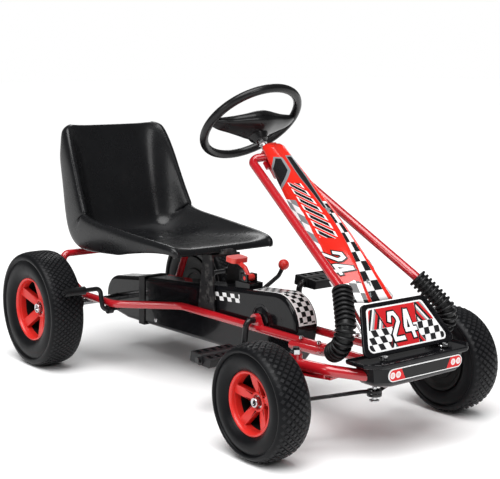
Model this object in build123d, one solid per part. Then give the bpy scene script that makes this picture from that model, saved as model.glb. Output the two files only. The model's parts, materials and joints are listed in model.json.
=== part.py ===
from build123d import *
import os
from math import sin, cos, tan, pi, radians, sqrt, atan2

# A child's four-wheel pedal go kart. Millimetres. +X is forward, +Y the driver's left, +Z up.
# The origin is on the ground, under the middle of the kart's bounding box.
# "Right" parts are drawn at negative Y and mirrored in the XZ plane to make the left ones.

# ---- driving dimensions -------------------------------------------------------------------------
WHEELBASE = 790.0
FRONT_AXLE_X = 379.0
REAR_AXLE_X = FRONT_AXLE_X - WHEELBASE
FRONT_RADIUS, FRONT_WIDTH, FRONT_RIM = 102.0, 70.0, 57.5
REAR_RADIUS, REAR_WIDTH, REAR_RIM = 127.0, 78.0, 71.0
FRONT_TRACK = 465.0
REAR_TRACK = 445.0
RIM_RECESS = 9.8                     # rim face behind the tyre's outer face
TYRE_WALL = 8.0
STUB_RADIUS = 6.0
AXLE_RADIUS = 8.0
RUNNING_FIT = 0.05                   # radial clearance of a turning fit
GAP = 0.3                            # clearance between faces of different bodies

RAIL_RADIUS, RAIL_Y, RAIL_Z = 8.0, 40.0, 154.0
REAR_RAIL_Y, REAR_RAIL_Z = 133.0, 150.0
BOW_RADIUS = 10.0
TUBE_WALL = 1.5

KINGPIN_Y = 154.0
SLEEVE_RADIUS, SLEEVE_LOW, SLEEVE_HIGH = 11.0, 126.0, 172.0

COLUMN_TILT = 42.2                   # of the steering axis from the vertical, in degrees
COLUMN_RADIUS = 6.5
STEER_WHEEL_X, STEER_WHEEL_Z = 57.3, 549.2
STEER_WHEEL_RADIUS, STEER_TUBE_RADIUS = 100.7, 8.4
TIE_PIN_X, TIE_PIN_Z = 414.0, 86.0   # where both tie rods meet the steering crank
KNUCKLE_ARM = 45.0
TIE_END_Z = 75.0

CRANK_X, CRANK_Z, CRANK_RADIUS = 124.0, 170.0, 6.0
CRANK_THROW, CRANK_ANGLE = 62.0, 8.0 # right arm hangs down, this far behind the vertical
CRANK_ARM_Y = 64.0
CHAIN_PITCH = 12.7
FRONT_TEETH, REAR_TEETH = 22, 13

CASE_HALF_WIDTH = 28.0
CASE_WALL = 2.5
BRAKE_X, BRAKE_Z, BRAKE_RADIUS = REAR_AXLE_X + 140.0, 136.0, 5.0
BRAKE_ROD_Z = BRAKE_Z - 22.0

SEAT_SLOPE = 3.5                     # rise of the seat rail towards the front, in degrees
SEAT_HALF_WIDTH = 142.0
SEAT_REAR_X, SEAT_FRONT_X = -421.0, -30.0

# ---- helpers ------------------------------------------------------------------------------------
AXIS_DIR = Vector(-sin(radians(COLUMN_TILT)), 0, cos(radians(COLUMN_TILT)))
WHEEL_POINT = Vector(STEER_WHEEL_X, 0, STEER_WHEEL_Z)


def on_column(height):
    """The point of the steering axis at this height above the ground."""
    return WHEEL_POINT - AXIS_DIR * ((STEER_WHEEL_Z - height) / AXIS_DIR.Z)


def column_plane(origin):
    """A plane square to the steering axis, with its x direction across the kart."""
    return Plane(origin=origin, x_dir=(0, 1, 0), z_dir=AXIS_DIR)


def left(shape):
    """The mirror image of a right-hand part."""
    return mirror(shape, about=Plane.XZ)


def rod(points, bend, radius, wall=0.0):
    """A round bar, or a tube with this wall, along straight runs joined by arcs."""
    path = FilletPolyline(*points, radius=bend) if bend else Polyline(*points)
    start = Plane(origin=path @ 0, z_dir=path % 0)
    section = start * Circle(radius)
    if wall:
        section -= start * Circle(radius - wall)
    return sweep(section, path=path)


def across(x, z, radius, y_low, y_high):
    """A cylinder along Y."""
    plane = Plane(origin=(x, y_low, z), z_dir=(0, 1, 0))
    return extrude(plane * Circle(radius), y_high - y_low)


def upright(x, y, radius, z_low, z_high):
    return Pos(x, y, (z_low + z_high) / 2) * Cylinder(radius, z_high - z_low)


def block(x_low, x_high, y_low, y_high, z_low, z_high):
    size = (x_high - x_low, y_high - y_low, z_high - z_low)
    centre = ((x_low + x_high) / 2, (y_low + y_high) / 2, (z_low + z_high) / 2)
    return Pos(*centre) * Box(*size)


def side_plate(points, y_low, y_high, radius=0.0):
    """A plate cut to an outline of (x, z) points, between two values of Y."""
    outline = make_face(Polyline(*[(x, 0, z) for x, z in points], close=True))
    if radius:
        outline = fillet(outline.vertices(), radius)
    plate = extrude(outline, y_high - y_low, dir=(0, 1, 0))
    return Pos(0, y_low, 0) * plate


def hexagon_nut(x, y, z, direction, size, length):
    plane = Plane(origin=(x, y, z), z_dir=direction)
    return extrude(plane * RegularPolygon(size, 6), length)


# ---- wheels: drawn about the Y axis, outer face towards -Y --------------------------------------
def tyre(radius, width, rim):
    half = width / 2
    profile = [
        (rim, -half + 11), (rim + 7, -half + 2), (rim + 18, -half), (radius - 12, -half),
        (radius, -half + 11), (radius, half - 11), (radius - 12, half), (rim + 18, half),
        (rim + 7, half - 2), (rim, half - 11),
    ]
    face = make_face(Polyline(*[(r, y, 0) for r, y in profile], close=True))
    rounded = [v for v in face.vertices() if v.X > rim + 1]
    cavity_half, cavity_top = half - 11 - TYRE_WALL, radius - TYRE_WALL - 3
    cavity = make_face(Polyline((rim - 5, -cavity_half, 0), (rim + 12, -cavity_half, 0),
                                (rim + 20, -half + TYRE_WALL, 0), (cavity_top, -half + TYRE_WALL + 4, 0),
                                (cavity_top, half - TYRE_WALL - 4, 0), (rim + 20, half - TYRE_WALL, 0),
                                (rim + 12, cavity_half, 0), (rim - 5, cavity_half, 0), close=True))
    return revolve(fillet(rounded, 5.0) - cavity, Axis.Y)


def rim(radius, width, bore, hub_radius):
    half = width / 2
    face_y = -half + RIM_RECESS
    ring = revolve(make_face(Polyline(*[(r, y, 0) for r, y in [
        (radius - 10, face_y), (radius, face_y), (radius, half - 12), (radius - 4, half - 12),
        (radius - 4, face_y + 22), (radius - 8, face_y + 14)]], close=True)), Axis.Y)
    hub = across(0, 0, hub_radius, -2, half + 3)
    back = across(0, 0, radius - 3.5, half - 16, half - 12)
    spoke_profile = [(hub_radius - 4, 7), (hub_radius - 4, -3), (radius - 9, face_y + 4),
                     (radius - 9, face_y + 15)]
    outline = make_face(Polyline(*[(0, y, r) for r, y in spoke_profile], close=True))
    width_of_spoke = radius * 0.36
    spoke = Pos(-width_of_spoke / 2, 0, 0) * extrude(outline, width_of_spoke, dir=(1, 0, 0))
    wheel = ring + hub + back
    for i in range(5):
        wheel += Rot(0, 72 * i + 18, 0) * spoke
    return wheel - across(0, 0, bore, -half, half + 20)


def front_wheel_place():
    return Pos(FRONT_AXLE_X, -FRONT_TRACK / 2, FRONT_RADIUS)


def rear_wheel_place():
    return Pos(REAR_AXLE_X, -REAR_TRACK / 2, REAR_RADIUS)


# ---- frame --------------------------------------------------------------------------------------
def side_rail():
    points = [(REAR_AXLE_X - 22, -REAR_RAIL_Y, REAR_RAIL_Z), (-252, -REAR_RAIL_Y, REAR_RAIL_Z),
              (-130, -RAIL_Y, RAIL_Z), (480, -RAIL_Y, RAIL_Z)]
    rail = rod(points, 40, RAIL_RADIUS, TUBE_WALL)
    return rail - bow_envelope() + crank_bearing()


BOW_POINTS = [(FRONT_AXLE_X, -KINGPIN_Y, 155), (446, -142, 155), (500, -96, 149),
              (500, 96, 149), (446, 142, 155), (FRONT_AXLE_X, KINGPIN_Y, 155)]


def bow_envelope():
    return rod(BOW_POINTS, 34, BOW_RADIUS)


def front_axle_tube():
    sleeves = [upright(FRONT_AXLE_X, y, SLEEVE_RADIUS, 100, 200) for y in (-KINGPIN_Y, KINGPIN_Y)]
    return rod(BOW_POINTS, 34, BOW_RADIUS, TUBE_WALL) - sleeves[0] - sleeves[1]


def kingpin_bracket():
    sleeve = upright(FRONT_AXLE_X, -KINGPIN_Y, SLEEVE_RADIUS, SLEEVE_LOW, SLEEVE_HIGH)
    outline = make_face(Polyline((FRONT_AXLE_X - 4, -KINGPIN_Y + 5), (FRONT_AXLE_X + 4, -KINGPIN_Y - 9),
                                 (452, -140), (446, -104), (430, -98), close=True))
    plate = Pos(0, 0, 138.5) * extrude(outline, 4)
    web = block(FRONT_AXLE_X + 8, 446, -150, -146.5, 141, 148)
    bracket = sleeve + plate + web - bow_envelope()
    bracket -= upright(FRONT_AXLE_X, -KINGPIN_Y, STUB_RADIUS + RUNNING_FIT, 90, 200)
    return bracket - upright(404, -118, 3.1, 130, 160)


def cross_member():
    """The bridge between the rails that holds the steering column's lower end."""
    point = on_column(RAIL_Z + 2)
    plate = block(point.X - 24, point.X + 20, -RAIL_Y - 6, RAIL_Y + 6, RAIL_Z - 12, RAIL_Z - 8)
    boss = column_plane(on_column(RAIL_Z - 15)) * Cylinder(12, 44, align=(Align.CENTER, Align.CENTER, Align.MIN))
    keeper = block(point.X - 40, point.X + 60, -40, 40, RAIL_Z - 14, RAIL_Z + 40)
    bridge = plate + (boss & keeper)
    bore = column_plane(on_column(RAIL_Z)) * Cylinder(COLUMN_RADIUS + RUNNING_FIT, 300)
    rails = [across_x(y) for y in (-RAIL_Y, RAIL_Y)]
    return bridge - bore - rails[0] - rails[1]


def across_x(y):
    """The straight front part of a rail as a solid bar."""
    return Pos(160, y, RAIL_Z) * Rot(0, 90, 0) * Cylinder(RAIL_RADIUS, 560)


def axle_bracket():
    """Bearing plate that hangs from the rear end of a rail and carries the rear axle."""
    x, z = REAR_AXLE_X, REAR_RADIUS
    plate = across(x, z, 16, -REAR_RAIL_Y - 7, -REAR_RAIL_Y + 7)
    plate += side_plate([(x - 14, z), (x + 14, z), (x + 20, REAR_RAIL_Z + 3), (x - 20, REAR_RAIL_Z + 3)],
                        -REAR_RAIL_Y - 7, -REAR_RAIL_Y + 7)
    rail = Pos(x, -REAR_RAIL_Y, REAR_RAIL_Z) * Rot(0, 90, 0) * Cylinder(RAIL_RADIUS, 90)
    return plate - rail - across(x, z, AXLE_RADIUS + RUNNING_FIT, -200, 200)


def seat_hoop():
    y, x = REAR_RAIL_Y, REAR_AXLE_X + 5
    foot = REAR_RAIL_Z + 4
    points = [(x + 12, -y, foot), (x, -y - 6, 244), (x, y + 6, 244), (x + 12, y, foot)]
    hoop = rod(points, 26, 8, TUBE_WALL)
    for side in (-y, y):
        hoop -= Pos(x, side, REAR_RAIL_Z) * Rot(0, 90, 0) * Cylinder(RAIL_RADIUS, 90)
    return hoop


STAY_POINTS = [(122, -10, 486), (98, -34, 481), (434, -85, 283), (486, -134, 211),
               (440, -119, 182), (334, -RAIL_Y - 15.7, 150), (250, -RAIL_Y - 15.7, 148)]
BOOT_RADIUS = 17.0
STAY_BENDS = [11, 60, 32, 40, 60]


def stay():
    tube = rod(STAY_POINTS, STAY_BENDS, 7.5, TUBE_WALL)
    return tube - head_envelope()


def boot():
    """The bellows over the stay's lower bend, as a plain sleeve."""
    path = FilletPolyline(*STAY_POINTS, radius=STAY_BENDS)
    whole = path.edges()
    spans = whole[4:8]
    wire = Wire(spans)
    start = Plane(origin=wire @ 0, z_dir=wire % 0)
    return sweep(start * (Circle(BOOT_RADIUS) - Circle(7.6)), path=wire)


def head_envelope():
    return column_plane(on_column(452)) * Cylinder(12.5, 58, align=(Align.CENTER, Align.CENTER, Align.MIN))


def steering_head():
    head = head_envelope()
    wing = column_plane(on_column(470)) * Box(44, 6, 16)
    bore = column_plane(on_column(480)) * Cylinder(COLUMN_RADIUS + RUNNING_FIT, 300)
    stays = rod(STAY_POINTS, STAY_BENDS, 7.5)
    return head + (wing - stays - left(stays)) - bore


# ---- plastic body -------------------------------------------------------------------------------
def roof_section(height, back_x, back_y, front_x, front_y, wall=2.5):
    """A thin roof-shaped channel, open to the rear, at one height."""
    outer = [(back_x, -back_y), (front_x, -front_y), (front_x, front_y), (back_x, back_y)]
    inner = [(back_x, back_y - wall * 1.6), (front_x - wall, front_y - wall * 0.4),
             (front_x - wall, -front_y + wall * 0.4), (back_x, -back_y + wall * 1.6)]
    return make_face(Polyline(*[(x, y, height) for x, y in outer + inner], close=True))


def fairing():
    """The glossy cover in front of the steering column."""
    sections = [roof_section(503, 116, 22, 148, 13), roof_section(372, 244, 40, 322, 11),
                roof_section(253, 386, 64, 426, 29)]
    return loft(sections[:2], ruled=True) + loft(sections[1:], ruled=True)


PANEL_TOP, PANEL_FOOT = Vector(452, 0, 257), Vector(500, 0, 178)


def number_panel():
    down = (PANEL_FOOT - PANEL_TOP)
    height = down.length
    plane = Plane(origin=(PANEL_TOP + PANEL_FOOT) / 2, x_dir=(0, 1, 0), z_dir=down.cross(Vector(0, -1, 0)))
    h = height / 2
    outline = make_face(Polyline((-112, -h), (112, -h), (77, h), (-77, h), close=True))
    outline = fillet(outline.vertices(), 11)
    sheet = extrude(outline, -5)
    rim_face = outline - offset(outline, -7)
    if plane.y_dir.Z < 0:
        plane = Plane(origin=plane.origin, x_dir=(0, -1, 0), z_dir=plane.z_dir)
    return plane * (sheet + extrude(rim_face, 2.5))


def bumper():
    """The nose: a glossy tray over a hollow, rounded box."""
    tray_outline = fillet(make_face(Polyline((472, -127), (524, -127), (538, -104), (538, 104),
                                             (524, 127), (472, 127), close=True)).vertices(), 10)
    body_outline = fillet(make_face(Polyline((476, -116), (518, -116), (536, -100), (536, 100),
                                             (518, 116), (476, 116), close=True)).vertices(), 9)
    tray = Pos(0, 0, 168) * extrude(tray_outline, 8)
    body = Pos(0, 0, 128) * extrude(body_outline, 40)
    hollow = Pos(0, 0, 124) * extrude(offset(body_outline, -3), 41)
    shell = tray + (body - hollow)
    shell -= rod(BOW_POINTS, 34, BOW_RADIUS + 0.1)
    shell -= block(450, 480, -52, 52, 120, 164)
    panel_slot = number_panel_envelope()
    return shell - panel_slot


def number_panel_envelope():
    return block(470, 503.5, -114, 114, 175.9, 200)


def light_strip():
    """The capsule-shaped plate on the nose's front face."""
    outline = Plane(origin=(536, 0, 155), x_dir=(0, 1, 0), z_dir=(1, 0, 0)) * SlotOverall(177, 22)
    return extrude(outline, 2)


# ---- steering -----------------------------------------------------------------------------------
def steering_column():
    top = WHEEL_POINT - AXIS_DIR * 8
    bottom = on_column(104)
    points = [top, bottom, (TIE_PIN_X, 0, 100), (TIE_PIN_X, 0, 68)]
    path = FilletPolyline(*points, radius=[11, 7])
    start = Plane(origin=path @ 0, z_dir=path % 0)
    thick = rod([top, on_column(122)], 0, COLUMN_RADIUS)
    thin = sweep(start * Circle(4.5), path=path)
    washer = upright(TIE_PIN_X, 0, 9, 68, 70)
    return thick + thin + washer


def steering_wheel():
    plane = column_plane(WHEEL_POINT)
    ring = plane * Torus(STEER_WHEEL_RADIUS, STEER_TUBE_RADIUS)
    low = column_plane(WHEEL_POINT - AXIS_DIR * 16)
    reach = STEER_WHEEL_RADIUS
    outline = make_face(Polyline((-reach, 24), (-34, 46), (34, 46), (reach, 24),
                                 (reach, -8), (30, -22), (-30, -22), (-reach, -8), close=True))
    disc = Circle(STEER_WHEEL_RADIUS)
    pad = low * extrude(fillet((outline & disc).vertices(), 5), 17)
    boss = column_plane(WHEEL_POINT - AXIS_DIR * 34) * Cylinder(15, 30, align=(Align.CENTER, Align.CENTER, Align.MIN))
    bore = column_plane(WHEEL_POINT - AXIS_DIR * 60) * Cylinder(COLUMN_RADIUS, 52, align=(Align.CENTER, Align.CENTER, Align.MIN))
    return ring + pad + boss - bore


def wheel_cap():
    """The red cover on the middle of the steering wheel."""
    plane = column_plane(WHEEL_POINT + AXIS_DIR * 1)
    outline = fillet(Rectangle(46, 40).vertices(), 10)
    return plane * extrude(outline, 7, taper=20)


def knuckle():
    """King pin, stub axle and steering arm of the right front wheel, as one bent and welded bar."""
    x, y = FRONT_AXLE_X, -KINGPIN_Y
    pin = upright(x, y, STUB_RADIUS, FRONT_RADIUS, SLEEVE_HIGH + 12)
    collar = upright(x, y, 10, FRONT_RADIUS - 8, SLEEVE_LOW - GAP)
    stub = across(x, FRONT_RADIUS, STUB_RADIUS, -FRONT_TRACK / 2 - 10, y)
    shoulder = across(x, FRONT_RADIUS, 9, -FRONT_TRACK / 2 + FRONT_WIDTH / 2 + 4, y + 8)
    arm = rod([(x, y, FRONT_RADIUS - 4), (x - KNUCKLE_ARM, y - 4, FRONT_RADIUS - 14),
               (x - KNUCKLE_ARM, y - 4, TIE_END_Z - 6)], 6, 4.5)
    return pin + collar + stub + shoulder + arm


def knuckle_nuts():
    x, y = FRONT_AXLE_X, -KINGPIN_Y
    top = hexagon_nut(x, y, SLEEVE_HIGH + GAP, (0, 0, 1), 9.5, 8) - upright(x, y, STUB_RADIUS, 100, 220)
    end = hexagon_nut(x, -FRONT_TRACK / 2 - 2 - GAP, FRONT_RADIUS, (0, -1, 0), 9.5, 7)
    return top, end - across(x, FRONT_RADIUS, STUB_RADIUS, -300, -200)


def tie_rod(level):
    """Right tie rod. Its outer eye turns on the knuckle's arm, its inner eye sits loosely on the crank."""
    outer = Vector(FRONT_AXLE_X - KNUCKLE_ARM, -KINGPIN_Y - 4, TIE_END_Z)
    inner = Vector(TIE_PIN_X, 0, level)
    flat = Vector(inner.X - outer.X, inner.Y - outer.Y, 0)
    u = flat.normalized()
    start, end = outer + u * 7, inner - u * 11
    bar = rod([start, start + u * 14, Vector(end.X, end.Y, level) - u * 14, end], 8, 3.6)
    eye_out = upright(outer.X, outer.Y, 8, outer.Z - 3, outer.Z + 3)
    eye_in = upright(inner.X, 0, 13.5, level - 2.2, level + 2.2)
    body = bar + eye_out + eye_in
    body -= upright(outer.X, outer.Y, 4.5 + RUNNING_FIT, 60, 100)
    return body - upright(inner.X, 0, TIE_EYE_BORE, 60, 110)


TIE_EYE_BORE = 10.0


# ---- drive --------------------------------------------------------------------------------------
def crank_point(side):
    angle = radians(CRANK_ANGLE)
    return (CRANK_X + side * CRANK_THROW * sin(angle), CRANK_Z + side * CRANK_THROW * cos(angle))


def crank():
    """One bent bar: shaft, two arms and two pedal spindles."""
    (xr, zr), (xl, zl) = crank_point(-1), crank_point(1)
    points = [(xr, -176, zr), (xr, -CRANK_ARM_Y, zr), (CRANK_X, -CRANK_ARM_Y, CRANK_Z),
              (CRANK_X, CRANK_ARM_Y, CRANK_Z), (xl, CRANK_ARM_Y, zl), (xl, 176, zl)]
    return rod(points, 12, CRANK_RADIUS)


def toothed_wheel(x, z, teeth, bore):
    """A flat chain wheel: a disc with a round gullet for every roller."""
    pitch_radius = CHAIN_PITCH / 2 / sin(pi / teeth)
    wheel = Circle(pitch_radius + 1)
    wheel -= PolarLocations(pitch_radius + 1.2, teeth) * Circle(4.3)
    wheel -= Circle(bore)
    if teeth > 20:
        wheel -= PolarLocations(pitch_radius * 0.6, 5) * Circle(9)
    plane = Plane(origin=(x, -1.5, z), z_dir=(0, 1, 0))
    body = extrude(plane * wheel, 3)
    return body + (across(x, z, bore + 6, -9, 9) - across(x, z, bore, -20, 20))


def chain():
    """The roller chain as one closed band around both chain wheels."""
    rear_r = CHAIN_PITCH / 2 / sin(pi / REAR_TEETH)
    front_r = CHAIN_PITCH / 2 / sin(pi / FRONT_TEETH)

    def loop(growth):
        rear = Pos(REAR_AXLE_X, REAR_RADIUS) * Circle(rear_r + growth)
        front = Pos(CRANK_X, CRANK_Z) * Circle(front_r + growth)
        return make_hull(rear.edges() + front.edges())

    band = loop(4.6) - loop(1.2)
    plane = Plane(origin=(0, 3.5, 0), x_dir=(1, 0, 0), z_dir=(0, -1, 0))
    return extrude(plane * band, 7)


def pedal(side):
    """A ribbed plastic pedal that turns on its spindle."""
    x, z = crank_point(side)
    body = side_plate([(x - 34, z - 9), (x + 30, z - 11), (x + 34, z + 6), (x - 30, z + 12)], 78, 168, 3)
    for i in range(5):
        y = 86 + 17 * i
        body -= block(x - 26, x - 11, y, y + 8, z - 20, z + 20)
        body -= block(x + 11, x + 26, y, y + 8, z - 20, z + 20)
    body += across(x, z, 10.5, 76, 170)
    body -= across(x, z, CRANK_RADIUS + RUNNING_FIT, 60, 200)
    return body if side > 0 else left(body)


def rear_axle():
    y = REAR_TRACK / 2 + 10
    return across(REAR_AXLE_X, REAR_RADIUS, AXLE_RADIUS, -y, y)


def axle_nuts():
    y = REAR_TRACK / 2 + 2
    nut = hexagon_nut(REAR_AXLE_X, -y, REAR_RADIUS, (0, -1, 0), 12, 6)
    nut -= across(REAR_AXLE_X, REAR_RADIUS, AXLE_RADIUS, -300, 300)
    return nut, left(nut)


def crank_bearing():
    """Block on top of a rail that carries the crank."""
    x, z = CRANK_X, CRANK_Z
    body = across(x, z, 12, -RAIL_Y - 5, -RAIL_Y + 5)
    body += side_plate([(x - 22, RAIL_Z), (x + 22, RAIL_Z), (x + 11, z + 4), (x - 11, z + 4)], -RAIL_Y - 5, -RAIL_Y + 5)
    return body - across_x(-RAIL_Y) - across(x, z, CRANK_RADIUS + RUNNING_FIT, -80, 0)


# ---- chain case ---------------------------------------------------------------------------------
def case_outline():
    """Side view of the chain case in x and z, from the strap forward."""
    rear, top_rear, nose = -300.0, 190.0, Vector(171, 167)
    nose_radius = 61.0
    lift = radians(4.6)
    top = nose + Vector(-sin(lift), cos(lift)) * nose_radius
    line = Line((rear, top_rear), (top.X, top.Y))
    arc = ThreePointArc((top.X, top.Y), (nose.X + nose_radius * cos(radians(40)), nose.Y + nose_radius * sin(radians(40))),
                        (nose.X + nose_radius, nose.Y - 6))
    rest = Polyline((nose.X + nose_radius, nose.Y - 6), (222, 120), (196, 90), (rear, 84),
                    (rear, top_rear))
    return make_face([line, arc] + rest.edges())


def half_shell(outline, depth, edge):
    """The right half of a closed box with this side view, open towards the middle."""
    plane = Plane(origin=(0, -0.1, 0), x_dir=(1, 0, 0), z_dir=(0, -1, 0))
    outer = extrude(outline, depth)
    outer = fillet(outer.faces().sort_by(Axis.Z)[-1].edges(), edge)
    inner = extrude(offset(outline, -CASE_WALL), depth - CASE_WALL)
    inner = fillet(inner.faces().sort_by(Axis.Z)[-1].edges(), edge - 2)
    shell = plane * (outer - inner)
    return shell - block(-312, -288, -depth + CASE_WALL, 0, 84 + CASE_WALL, 187)


def case_half():
    half = half_shell(case_outline(), CASE_HALF_WIDTH, 9)
    half -= across(CRANK_X, CRANK_Z, CRANK_RADIUS + 1.5, -60, 0)
    half -= across(BRAKE_X, BRAKE_Z, BRAKE_RADIUS + 2, -60, 0)
    return half


def case_rear_cap():
    """The rounded end over the rear chain wheel, with its strap."""
    x, z, r = REAR_AXLE_X, REAR_RADIUS, 49.0
    outline = make_face([
        ThreePointArc((x - 47, z - 14), (x - 34.6, z + 34.6), (x - 4, z + r)),
        *Polyline((x - 4, z + r), (-300.2, 190), (-300.2, 84), (-372, 84), (-440, 94),
                  (x - 47, z - 14)).edges()])
    half = half_shell(outline, CASE_HALF_WIDTH, 9)
    half -= across(x, z, AXLE_RADIUS + 1.5, -60, 10)
    return half


def case_strap():
    """The belt that clamps the end cap to the case."""
    outline = make_face(Polyline((-312, 191), (-300, 192.4), (-290, 193.2), (-294, 81.6), (-316, 81.6), close=True))
    outer = extrude(outline, CASE_HALF_WIDTH + 2.2)
    inner_outline = make_face(Polyline((-330, 186.6), (-300, 190.3), (-280, 191.9), (-280, 83.8), (-330, 83.8),
                                       close=True))
    inner = extrude(inner_outline, CASE_HALF_WIDTH + 0.2)
    plane = Plane(origin=(0, 0, 0), x_dir=(1, 0, 0), z_dir=(0, -1, 0))
    return plane * (outer - inner)


# ---- seat ---------------------------------------------------------------------------------------
def rail_height(x):
    """Top of the fixed seat rail at x."""
    return 262.0 + (x - SEAT_REAR_X) * tan(radians(SEAT_SLOPE))


def seat_rail():
    x0, x1 = SEAT_REAR_X, -18.0
    return side_plate([(x0, rail_height(x0) - 9.8), (x1, rail_height(x1) - 9.8),
                       (x1, rail_height(x1)), (x0, rail_height(x0))], -13, 13) - seat_hoop_solid()


def seat_hoop_solid():
    return across(REAR_AXLE_X + 5, 244, 8, -100, 100)


def seat_slider():
    """The channel under the seat that runs on the rail."""
    x0, x1 = SEAT_REAR_X + 30, -50.0
    web = side_plate([(x0, rail_height(x0) + GAP), (x1, rail_height(x1) + GAP),
                      (x1, rail_height(x1) + 5), (x0, rail_height(x0) + 5)], -17, 17)
    for y in (-17, 14):
        x0b = REAR_AXLE_X + 60
        web += side_plate([(x0b, rail_height(x0b) - 7), (x1, rail_height(x1) - 7),
                           (x1, rail_height(x1) + 5), (x0b, rail_height(x0b) + 5)], y, y + 3)
    return web - block(-600, 100, -13 - GAP, 13 + GAP, 100, 255) - seat_rail_envelope()


def seat_rail_envelope():
    x0, x1 = SEAT_REAR_X - 60, 60.0
    return side_plate([(x0, rail_height(x0) - 12), (x1, rail_height(x1) - 12),
                       (x1, rail_height(x1) + GAP), (x0, rail_height(x0) + GAP)], -13 - GAP, 13 + GAP)


def seat_front_post():
    """Inverted U that stands on both rails, over the chain case, and holds the rail's front end."""
    x0, x1 = -66.0, -26.0
    leg = side_plate([(x0 - 10, RAIL_Z + 4), (x1 + 6, RAIL_Z + 4), (x1, rail_height(x1) - 9.9),
                      (x0 + 8, rail_height(x0 + 8) - 9.9)], -36, -32)
    roof = side_plate([(x0 + 8, rail_height(x0 + 8) - 13.9), (x1, rail_height(x1) - 13.9),
                       (x1, rail_height(x1) - 9.9), (x0 + 8, rail_height(x0 + 8) - 9.9)], -36, 36)
    return leg + left(leg) + roof - across_x(-RAIL_Y) - across_x(RAIL_Y)


def seat_shell():
    """Bucket seat: pan, tall back and two side wings."""
    w = SEAT_HALF_WIDTH
    f = SEAT_FRONT_X

    def pan(x):
        return rail_height(x) + 5.2

    rear = SEAT_REAR_X
    profile = [(f, pan(f)), (rear + 14, pan(rear + 14)), (rear, pan(rear) + 14),
               (-480, 520), (-475, 526), (-469, 520), (rear + 17, pan(rear) + 38),
               (rear + 56, pan(rear + 56) + 5), (f - 20, pan(f - 20) + 5), (f, pan(f) + 4)]
    body = side_plate(profile, -w, w, 1.2)
    wing = side_plate([(f - 60, pan(f) - 2), (SEAT_REAR_X + 70, 250), (SEAT_REAR_X + 62, 259),
                       (SEAT_REAR_X + 2, 257), (-479, 520), (-466, 526), (-448, 500), (-398, 400),
                       (-362, 318), (-300, 298), (-120, 306), (f - 30, pan(f) + 12)], -w, -w + 6, 4)
    seat = body + wing + left(wing)
    trim = Plane.YZ * make_face(Polyline((-w - 20, 200), (-w - 20, 700), (-104, 700), (-104, 536), (-w, 330),
                                         (-w, 200), close=True))
    corner = Pos(-600, 0, 0) * extrude(trim, 700)
    return seat - corner - left(corner)


# ---- levers and brake ---------------------------------------------------------------------------
SELECTOR_X, SELECTOR_Z = 52.0, 226.0


def selector_base():
    x, z = SELECTOR_X, SELECTOR_Z
    base = block(x - 24, x + 22, -17, 17, z - 12, z + 4)
    ears = block(x - 9, x + 9, -13, -9, z, z + 20) + block(x - 9, x + 9, 9, 13, z, z + 20)
    case = Plane(origin=(0, 60, 0), x_dir=(1, 0, 0), z_dir=(0, -1, 0)) * extrude(case_outline(), 120)
    return base + ears - case - across(x, z + 12, 4 + RUNNING_FIT, -30, 30)


def selector_lever():
    x, z = SELECTOR_X, SELECTOR_Z + 12
    hub = across(x, z, 7, -9 + GAP, 9 - GAP) + across(x, z, 4, -13, 13)
    stem = rod([(x, 0, z), (x - 14, 0, z + 18), (x - 34, 0, z + 26)], 6, 4.5)
    paddle = Pos(x - 42, 0, z + 27) * Rot(0, 6, 0) * extrude(fillet(Rectangle(30, 40).vertices(), 8), 10)
    return hub + stem + paddle


LEVER_X, LEVER_Y, LEVER_Z = -20.0, 56.0, 128.0


def brake_lever():
    """Bent bar beside the left rail, with a flat lower end for the brake rod."""
    flat = side_plate([(LEVER_X - 8, LEVER_Z - 22), (LEVER_X + 8, LEVER_Z - 22), (LEVER_X + 9, LEVER_Z + 10),
                       (LEVER_X - 9, LEVER_Z + 10)], LEVER_Y - 3, LEVER_Y + 3, 3)
    bar = rod([(LEVER_X, LEVER_Y, LEVER_Z), (LEVER_X, LEVER_Y + 2, 172), (8, 112, 222), (13, 118, 238)], 14, 4.5)
    body = flat + bar - across(LEVER_X, LEVER_Z - 14, 3.3, 30, 80)
    pivot = across(LEVER_X, LEVER_Z, 5, 50, 60)
    return body + pivot


def brake_grip():
    grip = Pos(15, 120, 246) * Sphere(11.5)
    return grip - rod([(8, 112, 222), (13, 118, 238)], 0, 4.5)


def lever_bracket():
    """Tab under the left rail with the brake lever's pivot hole."""
    tab = side_plate([(LEVER_X - 14, RAIL_Z), (LEVER_X + 14, RAIL_Z), (LEVER_X + 9, LEVER_Z - 9),
                      (LEVER_X - 9, LEVER_Z - 9)], 47.7, 51.7, 2)
    return tab - across_x(RAIL_Y) - across(LEVER_X, LEVER_Z, 5 + RUNNING_FIT, 30, 80)


def brake_rod():
    y = LEVER_Y + 12
    return rod([(BRAKE_X, LEVER_Y - 4, BRAKE_ROD_Z), (BRAKE_X, y, BRAKE_ROD_Z), (LEVER_X, y, BRAKE_ROD_Z),
                (LEVER_X, LEVER_Y - 4, BRAKE_ROD_Z)], 6, 3)


PAD_X, PAD_Z = BRAKE_X - 10, 182.0


def brake_shaft():
    """Cross shaft under the rails, bent up at both ends to hold the brake pads."""
    points = [(PAD_X, -242, PAD_Z), (PAD_X, -150, PAD_Z), (BRAKE_X, -150, BRAKE_Z),
              (BRAKE_X, 150, BRAKE_Z), (PAD_X, 150, PAD_Z), (PAD_X, 242, PAD_Z)]
    bar = rod(points, 11, BRAKE_RADIUS)
    lug = side_plate([(BRAKE_X - 8, BRAKE_Z), (BRAKE_X + 8, BRAKE_Z), (BRAKE_X + 6, BRAKE_ROD_Z - 7),
                      (BRAKE_X - 6, BRAKE_ROD_Z - 7)], LEVER_Y - 2, LEVER_Y + 2)
    return bar + (lug - across(BRAKE_X, BRAKE_ROD_Z, 3.3, 30, 80))


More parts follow.
